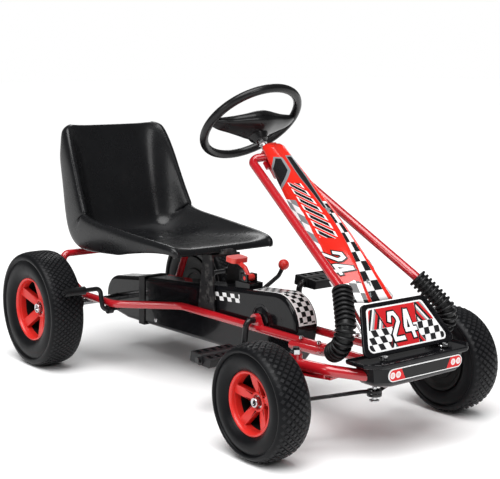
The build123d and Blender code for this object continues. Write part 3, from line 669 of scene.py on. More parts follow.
def tread_tree():
    """Rows of raised rhombic blocks around a tyre, each turned to face away from its crown."""
    tree = Geometry("tyre_tread", {
        "Radius": 0.1, "Half Width": 0.03, "Crown": 0.006, "Rows": 6, "Blocks": 40, "Block Height": 0.002,
        "Fill": 0.86})
    rows, blocks = tree.size("Rows"), tree.size("Blocks")
    total = tree.add("ShaderNodeMath", {"operation": "MULTIPLY"}, {0: rows, 1: blocks})
    points = tree.add("GeometryNodePoints", None, {"Count": total.outputs[0]})
    index = Field(tree, tree.add("GeometryNodeInputIndex").outputs[0])
    row = (index / blocks + 0.0001).floor()
    column = index - row * blocks
    shift = (row * 0.5).math("FRACT")
    turn = (column + shift) * (2 * pi) / blocks
    place = (row + 0.5) / rows * 2.0 - 1.0
    across = place * tree.size("Half Width")
    steep = abs(place).math("POWER", 3.6)
    radius = tree.size("Radius") - steep * tree.size("Crown")
    cos_, sin_ = turn.math("COSINE"), turn.math("SINE")
    position = tree.vector(cos_ * radius, across, sin_ * radius)
    lean = place.math("SIGN") * place.math("POWER", 2.0) * tree.size("Crown") / tree.size("Half Width") * 3.0
    rotation = tree.vector(-lean.math("ARCTANGENT"), pi / 2 - turn, 0.0)
    placed = tree.add("GeometryNodeSetPosition", None, {"Geometry": points.outputs[0], "Position": position})
    across_size = tree.size("Half Width") * 2.0 / rows * tree.size("Fill")
    along_size = tree.size("Radius") * (2 * pi) / blocks * tree.size("Fill")
    block = tree.add("GeometryNodeMeshCone", {"fill_type": "NGON"}, {
        "Vertices": 4, "Radius Top": 0.33, "Radius Bottom": 0.5, "Depth": 1.0})
    shape = tree.vector(along_size, across_size * 2.0, tree.size("Block Height"))
    turned = tree.add("GeometryNodeInstanceOnPoints", None, {
        "Points": placed.outputs[0], "Instance": block.outputs["Mesh"], "Rotation": rotation, "Scale": shape})
    tree.finish_with([tree.inputs.outputs[0], turned.outputs[0]], finish("tyre_black"))
    return tree


def rib_tree():
    """Round ribs along a path, over a thinner sleeve."""
    tree = Geometry("bellows_ribs", {
        "Rib Radius": 0.0155, "Rib Thickness": 0.0028, "Ribs": 17, "Sleeve": 0.0135})

    def circle(steps, radius):
        node = tree.add("GeometryNodeCurvePrimitiveCircle", None, {
            "Resolution": steps, "Radius": tree.size(radius)})
        return node.outputs[0]

    spine = tree.add("GeometryNodeMeshToCurve", None, {0: tree.inputs.outputs[0]}).outputs[0]
    rib = tree.add("GeometryNodeCurveToMesh", None, {
        0: circle(36, "Rib Radius"), 1: circle(8, "Rib Thickness")})
    spots = tree.add("GeometryNodeCurveToPoints", {"mode": "COUNT"}, {
        "Curve": spine, "Count": tree.size("Ribs")})
    ribs = tree.add("GeometryNodeInstanceOnPoints", None, {
        "Points": spots.outputs["Points"], "Instance": rib.outputs[0], "Rotation": spots.outputs["Rotation"]})
    fine = tree.add("GeometryNodeResampleCurve", None, {"Curve": spine, "Count": 60})
    sleeve = tree.add("GeometryNodeCurveToMesh", None, {
        0: fine.outputs[0], 1: circle(32, "Sleeve"), "Fill Caps": True})
    smooth = tree.add("GeometryNodeSetShadeSmooth", None, {0: sleeve.outputs[0]})
    round_ribs = tree.add("GeometryNodeSetShadeSmooth", None, {0: ribs.outputs[0]})
    tree.finish_with([smooth.outputs[0], round_ribs.outputs[0]], finish("bellows_black"))
    return tree


def screw_tree():
    """A domed screw head on every vertex, turned to the vertex's normal."""
    tree = Geometry("screw_heads", {"Head Radius": 0.005, "Head Height": 0.0026})
    dome = tree.add("GeometryNodeMeshUVSphere", None, {"Segments": 16, "Rings": 8, "Radius": 1.0})
    place = tree.add("GeometryNodeInputPosition")
    height = tree.add("ShaderNodeSeparateXYZ", None, {0: place.outputs[0]})
    z = Field(tree, height.outputs[2])
    keep = tree.add("GeometryNodeDeleteGeometry", {"domain": "POINT"}, {0: dome.outputs[0], 1: z < -0.3})
    shape = tree.vector(tree.size("Head Radius"), tree.size("Head Radius"), tree.size("Head Height"))
    normal = tree.add("GeometryNodeInputNamedAttribute", {"data_type": "FLOAT_VECTOR"}, {"Name": "facing"})
    turn = tree.add("FunctionNodeAlignEulerToVector", {"axis": "Z"}, {"Vector": normal.outputs[0]})
    heads = tree.add("GeometryNodeInstanceOnPoints", None, {
        "Points": tree.inputs.outputs[0], "Instance": keep.outputs[0], "Rotation": turn.outputs[0],
        "Scale": shape})
    smooth = tree.add("GeometryNodeSetShadeSmooth", None, {0: heads.outputs[0]})
    tree.finish_with([smooth.outputs[0]], finish("bright_zinc"))
    return tree


# ---- wheels -------------------------------------------------------------------------------------
WHEELS = {  # millimetres; square is how sharp the shoulder is, crown how far the tread falls to its edges
    "front": {"radius": 102.0, "half": 35.0, "rim": 57.5, "rows": 8, "blocks": 46, "axle": 6.0, "knob": 3.0,
              "square": 0.3, "crown": 7.0, "turn": radians(18)},
    "rear": {"radius": 127.0, "half": 39.0, "rim": 71.0, "rows": 10, "blocks": 68, "axle": 8.0, "knob": 2.3,
             "square": 1.0, "crown": 4.2, "turn": radians(6)},
}
BLOCK_ROOT, BLOCK_GAP, TREAD_INSET = 1.0, 0.25, 5.5    # depth in the tyre, room under the ground line, edge
RIM_RECESS, HUB_FRONT, SPOKES, SPOKE_HALF, SPOKE_DEPTH, WELL_RECESS = 9.8, 5.0, 5, 8.2, 13, 13


def wheel_centre(kind, side):
    low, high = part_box(f"{kind}_tyre_{side}")
    return (low + high) / 2


def wheel_body(kind, side):
    return "rear_wheels" if kind == "rear" else f"front_wheel_{side}"


def tyre_profile(size):
    """Closed loop of (radius, depth): bead, bulging wall, ridge, shoulder and crown."""
    top, half, rim = size["radius"] - size["knob"], size["half"], size["rim"]
    wall = top - rim
    square = size["square"]
    side = [(-0.03, 10.0), (0.02, 8.2), (0.09, 5.0), (0.2, 2.3), (0.33, 1.0), (0.46, 1.1), (0.58, 2.4),
            (0.655, 4.4), (0.69, 4.9), (0.71, 2.9), (0.745, 1.3), (0.8, 1.0), (0.86, 2.6 - square),
            (0.92 + 0.02 * square, 6.2 - 2.6 * square), (0.965 + 0.012 * square, 11.0 - 2.0 * square),
            (0.99 + 0.004 * square, 17.0), (1.0, 26.0)]
    outer = [(rim + wall * share, half - inset) for share, inset in side]
    return [(r * MM, d * MM) for r, d in outer + [(r, -d) for r, d in outer[::-1]]]


def make_tyre(kind, side, outward, tree, knob):
    """A tyre with its tread; knob scales the height of the blocks."""
    size = WHEELS[kind]
    centre = wheel_centre(kind, side)
    verts, faces = lathe(tyre_profile(size), 96, Vector(), outward)
    made = piece(f"tyre_{kind}_{side}", verts, outward_faces(verts, faces), "tyre_black", None, None, 50)
    made = tree.bake(made, {
        "Radius": (size["radius"] - size["knob"] - BLOCK_ROOT - BLOCK_GAP) * MM,
        "Half Width": (size["half"] - TREAD_INSET) * MM, "Crown": size["crown"] * MM, "Rows": size["rows"],
        "Blocks": size["blocks"], "Block Height": (size["knob"] + BLOCK_ROOT) * MM * knob})
    made.data.transform(Matrix.Translation(centre))
    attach(made, wheel_body(kind, side))
    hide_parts(f"{kind}_tyre_{side}")


def arc(radius, start, end, steps):
    """Points along an arc, both ends among them."""
    return [(radius * cos(start + (end - start) * i / steps), radius * sin(start + (end - start) * i / steps))
            for i in range(steps + 1)]


def spoke_openings(inner, outer, half, count, phase):
    """Outlines of the gaps between straight spokes."""
    step, loops = 2 * pi / count, []
    lean_out, lean_in = atan2(half, sqrt(outer**2 - half**2)), atan2(half, sqrt(inner**2 - half**2))
    for i in range(count):
        start = phase + i * step
        loops.append(arc(outer, start + lean_out, start + step - lean_out, 12)
                     + arc(inner, start + step - lean_in, start + lean_in, 4))
    return loops


def pierced_plate(outline, holes, front, back):
    """A plate with holes; front and back give its depth at a radius."""
    bm = bmesh.new()
    for loop in (outline, *holes):
        ring = [bm.verts.new((x, 0, z)) for x, z in loop]
        for a, b in zip(ring, ring[1:] + ring[:1]):
            bm.edges.new((a, b))
    bmesh.ops.triangle_fill(bm, use_beauty=True, edges=bm.edges[:])
    grown = bmesh.ops.extrude_face_region(bm, geom=bm.faces[:])
    moved = {v for v in grown["geom"] if isinstance(v, bmesh.types.BMVert)}
    for v in bm.verts:
        r = hypot(v.co.x, v.co.z)
        v.co.y = back(r) if v in moved else front(r)
    bm.verts.index_update()
    verts = [v.co.copy() for v in bm.verts]
    faces = [tuple(v.index for v in f.verts) for f in bm.faces]
    bm.free()
    bm = bmesh.new()
    made = [bm.verts.new(v) for v in verts]
    for f in faces:
        bm.faces.new([made[i] for i in f])
    bmesh.ops.recalc_face_normals(bm, faces=bm.faces[:])
    bm.verts.index_update()
    faces = [tuple(v.index for v in f.verts) for f in bm.faces]
    bm.free()
    return verts, faces


def gather(*shells):
    """One list of vertices and faces from several shells."""
    verts, faces = [], []
    for some_verts, some_faces in shells:
        base = len(verts)
        verts += some_verts
        faces += [tuple(base + i for i in f) for f in some_faces]
    return verts, faces


def turned(profile, steps, outward, scale=MM):
    verts, faces = lathe([(r * scale, d * scale) for r, d in profile], steps, Vector(), outward)
    return verts, outward_faces(verts, faces)


def make_rim(kind, side, outward):
    """A spoked rim, the near-black well behind it, which is painted shade inside the wheel, and the axle's end
    with its washer.
    """
    size = WHEELS[kind]
    rim, face, axle = size["rim"], size["half"] - RIM_RECESS, size["axle"]
    k = rim / WHEELS["front"]["rim"]
    ring = turned([(rim, face - 6), (rim - 0.8, face - 1.5), (rim - 3, face), (rim - 5.4, face - 0.3),
                   (rim - 7.0, face - 2.2), (rim - 8, face - 7), (rim - 8.6, face - 24), (rim - 5, face - 26),
                   (rim, face - 26)], 80, outward)
    hub = turned([(axle + 0.1, -18), (axle + 0.1, 1.9), (11.0 * k, 1.9), (11.6 * k, HUB_FRONT + 0.5),
                  (12.8 * k, HUB_FRONT + 2.0), (15.5 * k, HUB_FRONT + 2.0), (17.6 * k, HUB_FRONT + 0.6),
                  (17.9 * k, -18)], 48, outward)
    inner, outer = 17.0 * k * MM, (rim - 7.6) * MM

    def depth(r, level):
        share = min(1.0, max(0.0, (r - inner) / (outer - inner)))
        return outward * (level + share * (face - 8.5 - HUB_FRONT)) * MM

    holes = spoke_openings(inner * 1.03, outer * 0.985, SPOKE_HALF * k * MM, SPOKES, size["turn"])
    outline = arc(outer * 1.03, 0, 2 * pi * 79 / 80, 79)
    middle = arc(inner * 0.94, 0, 2 * pi * 39 / 40, 39)
    plate = pierced_plate(outline, [*holes, middle], lambda r: depth(r, HUB_FRONT),
                          lambda r: depth(r, HUB_FRONT - SPOKE_DEPTH))
    verts, faces = gather(ring, hub, plate)
    centre = wheel_centre(kind, side)
    made = piece(f"rim_{kind}_{side}", [v + centre for v in verts], faces, "moulded_red",
                 wheel_body(kind, side), "red_plastic", 35)
    bevel = made.modifiers.new("edges", "BEVEL")
    bevel.width, bevel.segments, bevel.limit_method, bevel.angle_limit = 0.0009, 2, "ANGLE", radians(40)
    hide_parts(f"{kind}_rim_{side}")
    # The well is painted shade: a near-black lining behind the spoke openings and inside the rim, where the
    # wheel lies in shade.
    back = -size["half"] + WELL_RECESS
    well = turned([(axle + 0.2, back - 3), (24 * k, back - 3), (26 * k, back - 6), (33 * k, back - 6),
                   (35 * k, back - 3), (46 * k, back - 3), (rim - 5, back - 9), (rim, back - 9),
                   (rim, face - 22), (rim - 8.8, face - 22), (rim - 9.2, back + 4), (axle + 0.2, back + 4)],
                  64, outward)
    piece(f"shade_well_{kind}_{side}", [v + centre for v in well[0]], well[1], "painted_shade_well",
          wheel_body(kind, side), "tyre_black", 35)
    lip = axle + 2.8
    tip = turned([(axle - 1.8, 9.0), (axle - 1.8, 12.6), (axle - 0.6, 13.6), (lip - 0.8, 13.6), (lip, 12.6),
                  (lip, 9.0)], 32, outward)
    washer = turned([(axle + 0.3, 2.0), (axle + 0.3, 2.3), (axle + 6.5, 2.3), (axle + 7.2, 2.0)], 32, outward)
    verts, faces = gather(tip, washer)
    piece(f"axle_tip_{kind}_{side}", [v + centre for v in verts], faces, "bright_zinc",
          "rear_wheels" if kind == "rear" else f"knuckle_{side}", "zinc_steel", 40)


# ---- bellows ------------------------------------------------------------------------------------
STAY_ROUTE = [(122, -10, 486), (98, -34, 481), (425, -91, 283), (486, -134, 211), (440, -119, 182),
              (334, -55.7, 150), (250, -55.7, 148)]
STAY_BENDS = [11, 60, 32, 40, 60]
STAY_RADIUS, STAY_PRESSED, PRESSED_BELOW, STAY_SPACING = 0.0083, 0.0078, 0.156, 0.008


def make_stay(side, outward):
    """The bent tube between the steering head and a rail, a little flattened where it is screwed down."""
    path = rounded_path([(x, y * -outward, z) for x, y, z in STAY_ROUTE], STAY_BENDS, 2.0)
    fine = [path[0]]
    for p in path[1:]:
        steps = max(1, int((p - fine[-1]).length / STAY_SPACING))
        start = fine[-1]
        fine += [start.lerp(p, (i + 1) / steps) for i in range(steps)]
    radii = [STAY_PRESSED if p.z < PRESSED_BELOW else STAY_RADIUS for p in fine]
    made = piece(f"stay_{side}", *swept(fine, radii, 28), "red_tube_paint", "chassis", "red_steel", 50)
    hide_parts(f"stay_tube_{side}")


def make_bellows(side, outward, tree, ribs):
    """The ribbed rubber over the lower bend of a stay."""
    path = rounded_path([(x, y * -outward, z) for x, y, z in STAY_ROUTE], STAY_BENDS)
    low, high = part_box(f"stay_boot_{side}")
    margin, overlap = 0.006, 0.011
    kept = [p for p in path if all(low[i] + margin < p[i] < high[i] - margin for i in range(3))]
    start = kept[0]
    before = path[path.index(start) - 1]
    kept.insert(0, start + (before - start).normalized() * overlap)
    line = bpy.data.meshes.new(f"bellows_{side}")
    line.from_pydata(kept, [(i, i + 1) for i in range(len(kept) - 1)], [])
    holder = bpy.data.objects.new(f"bellows_{side}", line)
    bpy.context.scene.collection.objects.link(holder)
    made = tree.bake(holder, {"Ribs": ribs})
    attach(made, "chassis")
    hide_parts(f"stay_boot_{side}")


# ---- steering wheel -----------------------------------------------------------------------------
WHEEL_POINT = Vector((0.0573, 0, 0.5492))
TILT = radians(42.2)
AXIS_DIR = Vector((-sin(TILT), 0, cos(TILT)))
UP_DIR = Vector((cos(TILT), 0, sin(TILT)))
PAD_HALF = [(0, 12, 34, -18, 19.5), (15, 12, 32, -17.5, 18), (36, 11, 26, -15, 14), (60, 9, 19, -11, 11),
            (84, 8, 14, -7, 8), (98, 8, 10, -3, 5)]
PAD_SECTIONS = [(-y, *rest) for y, *rest in PAD_HALF[:0:-1]] + PAD_HALF


def on_wheel(y, up, out):
    """A point of the steering wheel, in millimetres from its centre."""
    return WHEEL_POINT + Vector((0, y, 0)) * MM + UP_DIR * up * MM + AXIS_DIR * out * MM


def super_ring(count, power):
    """A ring between a circle, at power 2, and a square."""
    ring = []
    for i in range(count):
        c, s = cos(2 * pi * i / count), sin(2 * pi * i / count)
        ring.append(tuple(abs(a) ** (2 / power) * (1 if a >= 0 else -1) for a in (c, s)))
    return ring


def make_steering_wheel():
    """The ring, the wide spoke pad across it and the stepped hub, with a six-sided collar below."""
    ring, tube, big, small, pad_steps, pad_end = 100.7, 8.4, 96, 20, 40, PAD_HALF[-1][0]
    rings = []
    for i in range(big):
        turn, section = 2 * pi * i / big, []
        for j in range(small):
            a = 2 * pi * j / small
            out = ring + tube * cos(a)
            section.append(on_wheel(out * cos(turn), out * sin(turn), tube * sin(a)))
        rings.append(section)
    verts, faces = lofted(rings + [rings[0]], False)
    sections = []
    for i in range(pad_steps + 1):
        y = -pad_end + 2 * pad_end * i / pad_steps
        up, half_up, out, half_out = eased(PAD_SECTIONS, y)
        sections.append([on_wheel(y, up + half_up * a, out + half_out * b) for a, b in super_ring(28, 3.0)])
    hub = swept([WHEEL_POINT + AXIS_DIR * out * MM for out in (-30, -38, -42, -46, -48)],
                [r * MM for r in (21, 19, 15.5, 14.5, 12.5)], 32)
    verts, faces = gather((verts, faces), lofted(sections), hub)
    made = piece("steering_wheel_rim", verts, faces, "wheel_black", "steering", "black_plastic", 45)
    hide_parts("steering_wheel")
    collar = swept([WHEEL_POINT + AXIS_DIR * out * MM for out in (-47, -48, -56, -57)],
                   [r * MM for r in (8.2, 9.4, 9.4, 8.2)], 6)
    piece("column_collar", *collar, "bright_zinc", "steering", "zinc_steel", 30)


# ---- seat ---------------------------------------------------------------------------------------
SEAT_SPINE = [  # share of the way, x, z, half width, height of the side wall
    (0.0, -29, 279, 118, 2), (0.03, -34, 289, 122, 4), (0.1, -68, 291, 130, 9), (0.25, -160, 285.5, 138, 22),
    (0.38, -240, 280.5, 141, 34), (0.5, -325, 276, 142, 47), (0.58, -375, 279, 142, 58),
    (0.64, -404, 297, 142, 64), (0.7, -419, 333, 141, 58), (0.8, -435, 395, 137, 44),
    (0.9, -452, 462, 133, 29), (0.97, -464, 508, 126, 15), (0.99, -468, 518, 119, 8), (1.0, -470, 523, 104, 4)]


def make_seat(wall):
    """A bucket swept along its spine: each row dips in the middle, rises to a side wall and rolls over it."""
    rows, half_columns, step = 64, 14, 0.01
    grid = []
    for i in range(rows + 1):
        t = i / rows
        x, z, width, height = eased(SEAT_SPINE, t)
        behind, ahead = eased(SEAT_SPINE, max(0, t - step)), eased(SEAT_SPINE, min(1, t + step))
        along = Vector((ahead[0] - behind[0], 0, ahead[1] - behind[1])).normalized()
        normal = Vector((along.z, 0, -along.x))
        if normal.z < 0 and abs(normal.z) > abs(normal.x) or normal.x < 0 and abs(normal.x) >= abs(normal.z):
            normal = -normal
        half = []
        for j in range(half_columns + 1):
            share = j / half_columns
            rise = max(0.0, (share - 0.5) / 0.5)
            lift = height * rise**2.1 - 4.0 * cos(share * pi / 2) * min(1, height / 20)
            half.append((width * (share - 0.035 * rise**2), lift))
        drop = (height + 20) * (0.35 + 0.65 * min(1, height / 30))
        edge = width * 0.965
        half += [(edge + 2.5, height + 2.2), (edge + 6.5, height + 1.0), (edge + 8.5, height - 3.5),
                 (edge + 9.0, height - drop * 0.35), (edge + 7.5, height - drop * 0.7),
                 (edge + 5.5, height - drop)]
        row = [(-y, lift) for y, lift in half[:0:-1]] + half
        grid.append([(Vector((x, y, z)) + normal * lift) * MM for y, lift in row])
    count = len(grid[0])
    verts = [p for row in grid for p in row]
    faces = [(i * count + j, i * count + j + 1, (i + 1) * count + j + 1, (i + 1) * count + j)
             for i in range(rows) for j in range(count - 1)]
    made = piece("seat_bucket", verts, faces, "seat_black", "seat", "seat_plastic", 60)
    if made.data.polygons[len(faces) // 4].normal.z < 0:
        made.data.flip_normals()
    thick = made.modifiers.new("wall", "SOLIDIFY")
    thick.thickness, thick.offset = wall, -1
    fine = made.modifiers.new("fine", "SUBSURF")
    fine.levels = fine.render_levels = 1
    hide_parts("seat_shell")


def make_hoop():
    """The tube under the seat: a wide bow that stands on the rear ends of both rails."""
    top_x, top_z, tube, sleeve_end, sleeve_radius, sleeve_half, steps = -408, 243, 0.008, 0.0085, 0.0112, 60, 24
    legs = [[(-394, y, 156), (-404, y / 133 * 150, 180)] for y in (-133, 133)]
    route = [*legs[0], (top_x, -178, top_z), (top_x, 178, top_z), *legs[1][::-1]]
    path = rounded_path(route, [14, 16, 16, 14], 2.0)
    made = piece("seat_bow", *swept(path, [tube] * len(path), 28), "red_tube_paint", "chassis",
                 "red_steel", 50)
    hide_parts("seat_hoop")
    start, end = (Vector((top_x, y, top_z)) * MM for y in (-sleeve_half, sleeve_half))
    sleeve = swept([start.lerp(end, i / steps) for i in range(steps + 1)],
                   [sleeve_end] + [sleeve_radius] * (steps - 1) + [sleeve_end], 28)
    piece("seat_bow_sleeve", *sleeve, "satin_black", "chassis", "black_plastic", 40)


# ---- number plate -------------------------------------------------------------------------------
# takes flat plate points, x across and y up, to the leaning panel
PLATE_PLACE = Matrix(((0, -0.5192, 0.8546, 0.476), (1, 0, 0, 0), (0, 0.8546, 0.5192, 0.2175), (0, 0, 0, 1)))


def rounded_outline(corners, radius, steps=6):
    """A convex outline with rounded corners."""
    points = []
    for before, corner, after in zip(corners[-1:] + corners[:-1], corners, corners[1:] + corners[:1]):
        corner, a, b = Vector(corner), Vector(before), Vector(after)
        a, b = (a - corner).normalized(), (b - corner).normalized()
        half = a.angle(b) / 2
        reach = radius * cos(half) / sin(half)
        middle = corner + (a + b).normalized() * (radius / sin(half))
        start, end = corner + a * reach - middle, corner + b * reach - middle
        for i in range(steps + 1):
            points.append(middle + (start * (1 - i / steps) + end * (i / steps)).normalized() * radius)
    return points


def inset(points, distance):
    """The outline moved inwards along its own normals."""
    moved = []
    for before, here, after in zip(points[-1:] + points[:-1], points, points[1:] + points[:1]):
        along = (after - before).normalized()
        moved.append(here + Vector((-along.y, along.x)) * distance)
    return moved


def make_plate_backing():
    """The glossy panel with its raised, rounded border."""
    outline = rounded_outline([(-112, -46), (112, -46), (77, 46), (-77, 46)], 11, 8)
    levels = [(0.4, 0.2), (0.0, 1.0), (0.0, 4.0), (0.5, 4.7), (1.2, 5.0), (5.0, 5.0), (5.9, 4.6), (6.4, 2.6)]
    rings = [[PLATE_PLACE @ (Vector((*p, height)) * MM) for p in inset(outline, step)]
             for step, height in levels]
    made = piece("plate_backing", *lofted(rings), "gloss_black", "chassis", "black_plastic", 40)
    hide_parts("number_panel")


def make_plate_picture():
    """The sticker in the panel, with its white border marked for the print."""
    corners = [(-97, -39), (97, -39), (67, 38.5), (-67, 38.5)]
    outer = rounded_outline(corners, 9)
    inner = rounded_outline([(x - (3.4 if x > 0 else -3.4), y * 0.93) for x, y in corners], 7)
    flat = [Vector((*p, 3.0)) * MM for p in outer + inner]
    count = len(outer)
    faces = [(i, (i + 1) % count, count + (i + 1) % count, count + i) for i in range(count)]
    faces.append(tuple(range(count, 2 * count)))
    low = [Vector((*p, 2.5)) * MM for p in outer]
    skirt = [(2 * count + i, 2 * count + (i + 1) % count, (i + 1) % count, i) for i in range(count)]
    made = piece("plate_picture", [PLATE_PLACE @ v for v in flat + low], faces + skirt, "plate_print",
                 "chassis", "printed_plate", 30)
    uv = made.data.uv_layers.new(name="flat")
    spots = flat + low
    for corner in made.data.loops:
        uv.data[corner.index].uv = spots[corner.vertex_index][:2]
    border = made.data.attributes.new("border", "FLOAT", "FACE")
    border.data.foreach_set("value", [1.0] * count + [0.0] + [1.0] * count)


DIGITS = {  # strokes on a grid two wide and four high
    "0": [[(0, 2), (0, 3.2), (0.6, 4), (1.4, 4), (2, 3.2), (2, 0.8), (1.4, 0), (0.6, 0), (0, 0.8), (0, 2)]],
    "1": [[(0.3, 3.3), (1, 4), (1, 0)]],
    "2": [[(0, 3), (0.5, 4), (1.5, 4), (2, 3.2), (2, 2.6), (0, 0.7), (0, 0), (2, 0)]],
    "3": [[(0, 4), (1.4, 4), (2, 3.3), (2, 2.6), (1.4, 2.1), (2, 1.5), (2, 0.7), (1.4, 0), (0, 0)],
          [(0.5, 2.1), (1.5, 2.1)]],
    "4": [[(1.1, 4), (0, 1.6), (0, 1.1), (2.2, 1.1)], [(1.4, 4), (1.4, 0)]],
    "5": [[(2, 4), (0, 4), (0, 2.4), (1.4, 2.4), (2, 1.7), (2, 0.7), (1.4, 0), (0, 0)]],
    "6": [[(1.8, 4), (0.6, 4), (0, 3.2), (0, 0.7), (0.6, 0), (1.4, 0), (2, 0.7), (2, 1.6), (1.4, 2.2),
           (0, 2.2)]],
    "7": [[(0, 4), (2, 4), (2, 3.4), (0.9, 0)]],
    "8": [[(0.6, 2.1), (0, 2.7), (0, 3.3), (0.6, 4), (1.4, 4), (2, 3.3), (2, 2.7), (1.4, 2.1), (2, 1.5),
           (2, 0.7), (1.4, 0), (0.6, 0), (0, 0.7), (0, 1.5), (0.6, 2.1), (1.4, 2.1)]],
    "9": [[(0.2, 0), (1.4, 0), (2, 0.8), (2, 3.3), (1.4, 4), (0.6, 4), (0, 3.3), (0, 2.4), (0.6, 1.8),
           (2, 1.8)]],
}
DIGIT_WIDTH, STROKE_END, STROKE_LIFT, STROKE_SPACING = 0.84, 0.9, 0.00004, 0.003


def ribbon(corners, half, end):
    """Rows of flat points across a mitred band that runs end past both ends of its corners."""
    corners = [Vector(c) for c in corners]
    first, last = (corners[0] - corners[1]).normalized(), (corners[-1] - corners[-2]).normalized()
    corners[0], corners[-1] = corners[0] + first * end, corners[-1] + last * end
    rows = []
    for i, corner in enumerate(corners):
        into = (corner - corners[i - 1]).normalized() if i else -first
        out = (corners[i + 1] - corner).normalized() if i < len(corners) - 1 else last
        middle = (into + out).normalized()
        mitre = Vector((-middle.y, middle.x)) * (half / max(0.5, middle.dot(into)))
        rows.append((corner + mitre, corner, corner - mitre))
    fine = []
    for before, after in zip(rows, rows[1:]):
        steps = max(1, round((after[1] - before[1]).length / STROKE_SPACING))
        fine += [[p.lerp(q, k / steps) for p, q in zip(before, after)] for k in range(steps)]
    return fine + [list(rows[-1])]


def make_number(name, text, height, half, step, finish_name, place):
    """Block digits drawn with bands, step apart; place moves each flat point onto the kart."""
    unit = height / 4
    wide = unit * DIGIT_WIDTH
    shells = []
    for n, digit in enumerate(c for c in text if c in DIGITS):
        start = (n - (len(text) - 1) / 2) * step - wide
        for stroke in DIGITS[digit]:
            rows = ribbon([(start + x * wide, (y - 2) * unit) for x, y in stroke], half, half * STROKE_END)
            verts = [place(Vector((*p, len(shells) * STROKE_LIFT))) for row in rows for p in row]
            corners = [3 * i + j for i in range(len(rows) - 1) for j in (0, 1)]
            faces = [(c, c + 1, c + 4, c + 3) for c in corners]
            shells.append((verts, faces))
    return piece(name, *gather(*shells), finish_name, "chassis", "printed_plate", 60)


NOSE_RINGS = [  # height, half width, front, corner cut, back
    (131, 88, 520, 20, 478), (132.5, 94, 526, 20, 475), (137, 100, 532, 18, 474), (143, 103, 536, 17, 474),
    (166, 107, 536, 16, 474), (167.5, 108, 536.5, 16, 474), (168.5, 124, 537.4, 20, 471),
    (170, 126, 538, 20, 470.5), (174, 127, 538, 20, 470.5), (176, 126, 537.4, 19, 471),
    (176.3, 123, 535, 18, 473), (173.4, 121.5, 533, 17, 475)]


def make_nose():
    """The moulded nose: a tray with a raised edge over a box whose ends slope in towards the bottom."""
    rings = []
    for z, half, front, cut, back in NOSE_RINGS:
        corners = [(back, -half), (front - cut, -half), (front, -half + cut * 1.1), (front, half - cut * 1.1),
                   (front - cut, half), (back, half)]
        rings.append([Vector((*p, z)) * MM for p in rounded_outline(corners, 6, 5)])
    made = piece("nose_tray", *lofted(rings), "gloss_black", "chassis", "black_plastic", 35)
    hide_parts("nose_bumper")
    section, bottom, top, x = ((-1.2, -9), (1.2, -9), (1.2, 9), (-1.2, 9)), 138, 168, 482
    for side, outward in SIDES:
        ribs = [lofted([[Vector((x + a, -outward * y + b, z)) * MM for a, b in section] for z in (bottom, top)])
                for y in (60, 92)]
        piece(f"nose_ribs_{side}", *gather(*ribs), "gloss_black", "chassis", "black_plastic", 30)


# ---- fairing ------------------------------------------------------------------------------------
FAIRING_ROWS = [  # share of the height, z, rear x, rear half width, front x, front half width
    (0.0, 253, 386, 64, 426, 29), (0.476, 372, 244, 40, 322, 11), (1.0, 503, 116, 22, 148, 13),
    (1.025, 508, 117, 20, 143, 12), (1.04, 510.5, 121, 15, 135, 8)]
RIDGE = 0.34    # the share across at which the front meets a side face
LIP = 0.98      # and the one past which the rear edge turns in


def cover_point(u, v):
    """A point of the cover, in metres: u from -1 at the right rear edge to 1, v from 0 at the foot to 1."""
    z, rear_x, rear_y, front_x, front_y = eased(FAIRING_ROWS, v)
    side, ridge = (1 if u > 0 else -1), abs(u)
    if ridge >= RIDGE:
        s = (ridge - RIDGE) / (1 - RIDGE)
        y = front_y + (rear_y - front_y) * s + 3.0 * sin(pi * s)
        x = front_x + (rear_x - front_x) * s + 1.0 * sin(pi * s)
        if ridge > LIP:
            y -= 1.5 + (ridge - LIP) * 140
    else:
        s = ridge / RIDGE
        y, x = front_y * s, front_x - 1.8 * (1 - s**2) + (1.2 if s > 0.9 else 0)
    return Vector((x, side * y if u else 0, z)) * MM


COVER_LENGTH, COVER_WIDTH = 0.37, 0.068    # of a side face at the number
NUMBER_U, NUMBER_V, NUMBER_LEAN = 0.62, 0.24, radians(-16)


def cover_spot(p, outward, lift):
    """Lays a flat point on a side face of the cover. Text runs down the right face and up the left one."""
    p = Matrix.Rotation(NUMBER_LEAN * outward, 3, "Z") @ p
    v = NUMBER_V + p.x * outward / COVER_LENGTH
    u = outward * (NUMBER_U - p.y / COVER_WIDTH * (1 - RIDGE))
    here = cover_point(u, v)
    down = cover_point(u, v - 0.01) - here
    forward = cover_point(u - outward * 0.01, v) - here
    return here + forward.cross(down).normalized() * -outward * (lift + p.z) * -1


def make_fairing():
    """The folded cover in front of the column: printed outside, plain inside."""
    rows, grid, marks = 48, [], []
    shares = [i / rows for i in range(rows + 1)] + [1.02, 1.035, 1.04]
    across = [-1, -0.985, -0.9, -0.8, -0.68, -0.56, -0.46, -0.38, -0.35, -0.33, -0.3, -0.2, -0.1, 0]
    across += [-u for u in across[-2::-1]]
    for v in shares:
        grid.append([cover_point(u, v) for u in across])
        marks += [(u, v) for u in across]
    count = len(across)
    verts = [p for row in grid for p in row]
    faces = [(i * count + j, (i + 1) * count + j, (i + 1) * count + j + 1, i * count + j + 1)
             for i in range(len(grid) - 1) for j in range(count - 1)]
    faces.append(tuple((len(grid) - 1) * count + j for j in range(count)))
    made = piece("fairing_cover", verts, faces, "fairing_print", "chassis", "red_plastic", 50)
    uv = made.data.uv_layers.new(name="cover")
    for corner in made.data.loops:
        uv.data[corner.index].uv = marks[corner.vertex_index]
    if made.data.polygons[count // 2].normal.x < 0:
        made.data.flip_normals()
    thick = made.modifiers.new("wall", "SOLIDIFY")
    thick.thickness, thick.offset = 0.0024, -1
    made.data.materials.append(finish("moulded_red"))
    thick.material_offset = 1
    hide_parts("fairing")


